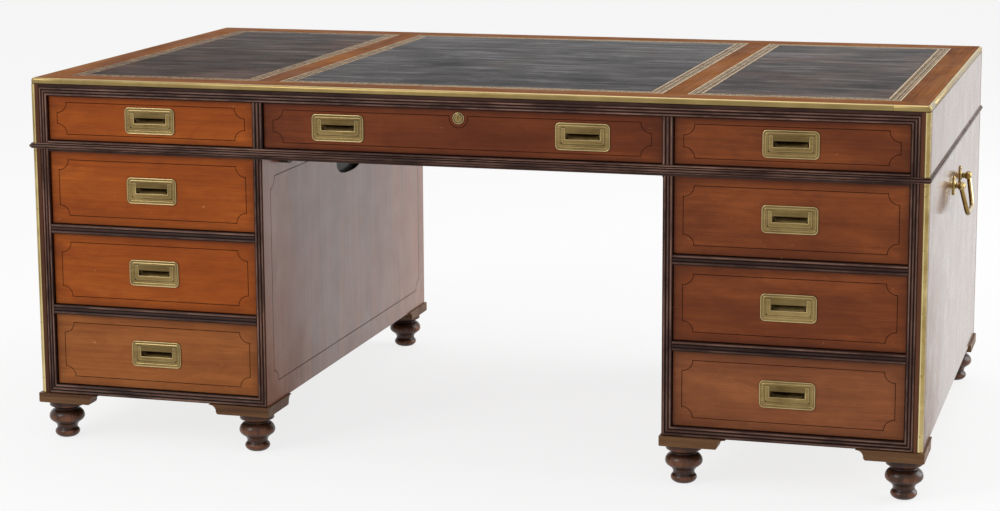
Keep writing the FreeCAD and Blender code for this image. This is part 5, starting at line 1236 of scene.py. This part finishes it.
def carrying_bail(word, side):
    """A carrying handle's bail: arms that draw in towards the grip, round bends and a grip that swells at its
    middle."""
    piece = Piece(carry_brass)
    down = Vector((side * math.sin(CARRY_LEAN), 0, -math.cos(CARRY_LEAN)))
    outward = Vector((side * math.cos(CARRY_LEAN), 0, math.sin(CARRY_LEAN)))
    pivot = Vector((side * (HALF_W + CARRY_REACH), 0, CARRY_Z))
    arm, foot, drop, bend = 80.0, 50.0, 62.0, 15.0
    slope = Vector((arm - foot, drop)).normalized()
    length = drop - bend
    path = [(arm - slope.x * step / 8 * length, slope.y * step / 8 * length) for step in range(9)]
    one, two, three = Vector(path[-1]), Vector((foot, drop)), Vector((foot - bend, drop))
    for t in (step / 8 for step in range(1, 9)):
        path.append(tuple(one * (1 - t) ** 2 + two * 2 * t * (1 - t) + three * t ** 2))
    path += [((foot - bend) * (1 - step / 6), drop) for step in range(1, 7)]
    path += [(-y, d) for y, d in reversed(path[:-1])]
    spots = [pivot + Vector((0, y, 0)) + down * d for y, d in path]
    last = len(spots) - 1
    rings = []
    for number, spot in enumerate(spots):
        tangent = (spots[min(number + 1, last)] - spots[max(number - 1, 0)]).normalized()
        across = tangent.cross(outward).normalized()
        middle = 1 - abs(2 * number / last - 1)
        radius = 4.8 + 0.7 * min(max((middle - 0.35) * 1.8, 0), 1)
        ring = []
        for step in range(24):
            turn = 2 * math.pi * step / 24
            # A painted highlight along the bar's outward crest and painted shade on its inner side.
            shade = -0.75 * max(math.cos(turn - 0.5), 0) ** 6 + 0.75 * max(-math.cos(turn), 0) ** 1.5
            ring.append(piece.add(spot + (outward * math.cos(turn) + across * math.sin(turn)) * radius, shade))
        rings.append(ring)
    piece.rings(rings)
    for end in SIDES:
        ball = []
        for step in range(13):
            angle = math.pi * step / 12
            # Two rings of painted highlight round each pivot ball.
            ball.append((7.4 * math.sin(angle), -7.4 * math.cos(angle), -0.5 if step in (2, 10) else 0.1))
        piece.lathe(ball, pivot + Vector((0, end * arm, 0)), 32, "Y")
        # The pins a little darker: dirt and painted shade.
        pin = [(0, -end * 9.0, 0.4), (2.8, -end * 9.0, 0.4), (2.8, 0, 0.4), (0, 0, 0.4)]
        piece.lathe(pin, pivot + Vector((0, end * arm, 0)), 20, "Y")
    piece.build(f"{word}_carrying_grip", f"{word}_carrying_bail", [f"{word}_carrying_bail"], "brass", sharp=50)


feet()
corner_strips("pedestal_brass_angles", "pedestals", "pedestal_corner_brass", CASE_BASE, SPLIT,
              (132, 250, 370, 490, 592))
corner_strips("top_brass_angles", "top", "top_corner_brass", SPLIT, EDGE_BASE, (650, 728))

finish_node("plinth_brackets", bracket_wood)
finish_node("locating_pegs", carcase_wood)
# The cleats take the near-black wood too: painted shade under the top.
finish_node("locating_cleats", painted_shade_wood)
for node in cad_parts:
    if node.endswith("_drawer_box"):
        finish_node(node, carcase_wood)

carrying_posts()
carrying_bail("left", -1)
carrying_bail("right", 1)


# ----------------------------------------------------------------------------------------------------------
# Floor, light and camera. Places and sizes here are in metres.


def seen_ray(tree):
    """1 for the rays by which the camera, a gloss or a clear body sees the background."""
    rays = tree.nodes.new("ShaderNodeLightPath").outputs
    total = rays["Is Camera Ray"]
    for name in ("Is Glossy Ray", "Is Transmission Ray"):
        total = new_node(tree, "Math", {0: total, 1: rays[name]}, operation="MAXIMUM")
    return total


def studio_floor():
    """A plain pale floor."""
    mesh = bpy.data.meshes.new("studio_floor")
    mesh.from_pydata([(x, y, 0) for x, y in rectangle(-40, -40, 40, 40)], [], [(0, 1, 2, 3)])
    floor = placed("studio_floor", mesh)
    floor.location.z = -0.0002
    material = bpy.data.materials.new("studio_floor")
    material.use_nodes = True
    tree = material.node_tree
    shader = tree.nodes["Principled BSDF"]
    shader.inputs["Base Color"].default_value = (0.88, 0.88, 0.88, 1)
    shader.inputs["Roughness"].default_value = 0.9
    shader.inputs["Specular IOR Level"].default_value = 0.1
    share = new_node(tree, "Math", {0: seen_ray(tree), 1: 0.8}, operation="MULTIPLY")
    white = new_node(tree, "Emission", {})
    mixed = new_node(tree, "MixShader", {0: share, 1: shader.outputs[0], 2: white})
    connect(tree, mixed, tree.nodes["Material Output"].inputs["Surface"])
    mesh.materials.append(material)


def studio_light():
    """An even white surrounding and soft light from large lamps."""
    world = bpy.data.worlds.new("studio_world")
    bpy.context.scene.world = world
    world.use_nodes = True
    tree = world.node_tree
    soft = tree.nodes["Background"]
    soft.inputs["Color"].default_value = (1.0, 1.0, 1.0, 1)
    soft.inputs["Strength"].default_value = 0.62
    white = new_node(tree, "Background", {"Color": (1, 1, 1, 1), "Strength": 1.0})
    mixed = new_node(tree, "MixShader", {0: seen_ray(tree), 1: soft.outputs[0], 2: white})
    connect(tree, mixed, tree.nodes["World Output"].inputs["Surface"])
    for name, spot, target, size, power in (
        ("key_lamp", (-3.2, -4.6, 3.6), (0, 0, 0.4), 2.6, 120),
        ("side_lamp", (4.6, 2.2, 1.9), (0.9, 0, 0.5), 3.2, 150),
        ("top_lamp", (0.2, 0.6, 4.4), (0, 0, 0.6), 3.0, 40),
    ):
        data = bpy.data.lights.new(name, "AREA")
        data.shape = "SQUARE"
        data.size = size
        data.energy = power
        lamp = placed(name, data)
        lamp.location = spot
        lamp.rotation_mode = "QUATERNION"
        lamp.rotation_quaternion = (Vector(spot) - Vector(target)).to_track_quat("Z", "Y")


def camera():
    """The camera at the photograph's place, from its own horizon and tilt."""
    data = bpy.data.cameras.new("camera")
    data.lens = 87.95
    data.sensor_width = 36
    data.shift_y = -0.0455
    eye = placed("camera", data)
    yaw, pitch, roll = math.radians(16.076), math.radians(10.064), math.radians(-0.294)
    forward = Vector((-math.sin(yaw) * math.cos(pitch), math.cos(yaw) * math.cos(pitch), -math.sin(pitch)))
    right = Vector((math.cos(yaw), math.sin(yaw), 0))
    up = right.cross(forward)
    turned = right * math.cos(roll) + up * math.sin(roll)
    lifted = up * math.cos(roll) - right * math.sin(roll)
    axes = Matrix((turned, lifted, -forward)).transposed().to_4x4()
    axes.translation = Vector((1.3856, -5.0348, 1.3644))
    eye.matrix_world = axes
    bpy.context.scene.camera = eye


studio_floor()
studio_light()
camera()
bpy.context.scene.view_settings.view_transform = "Standard"
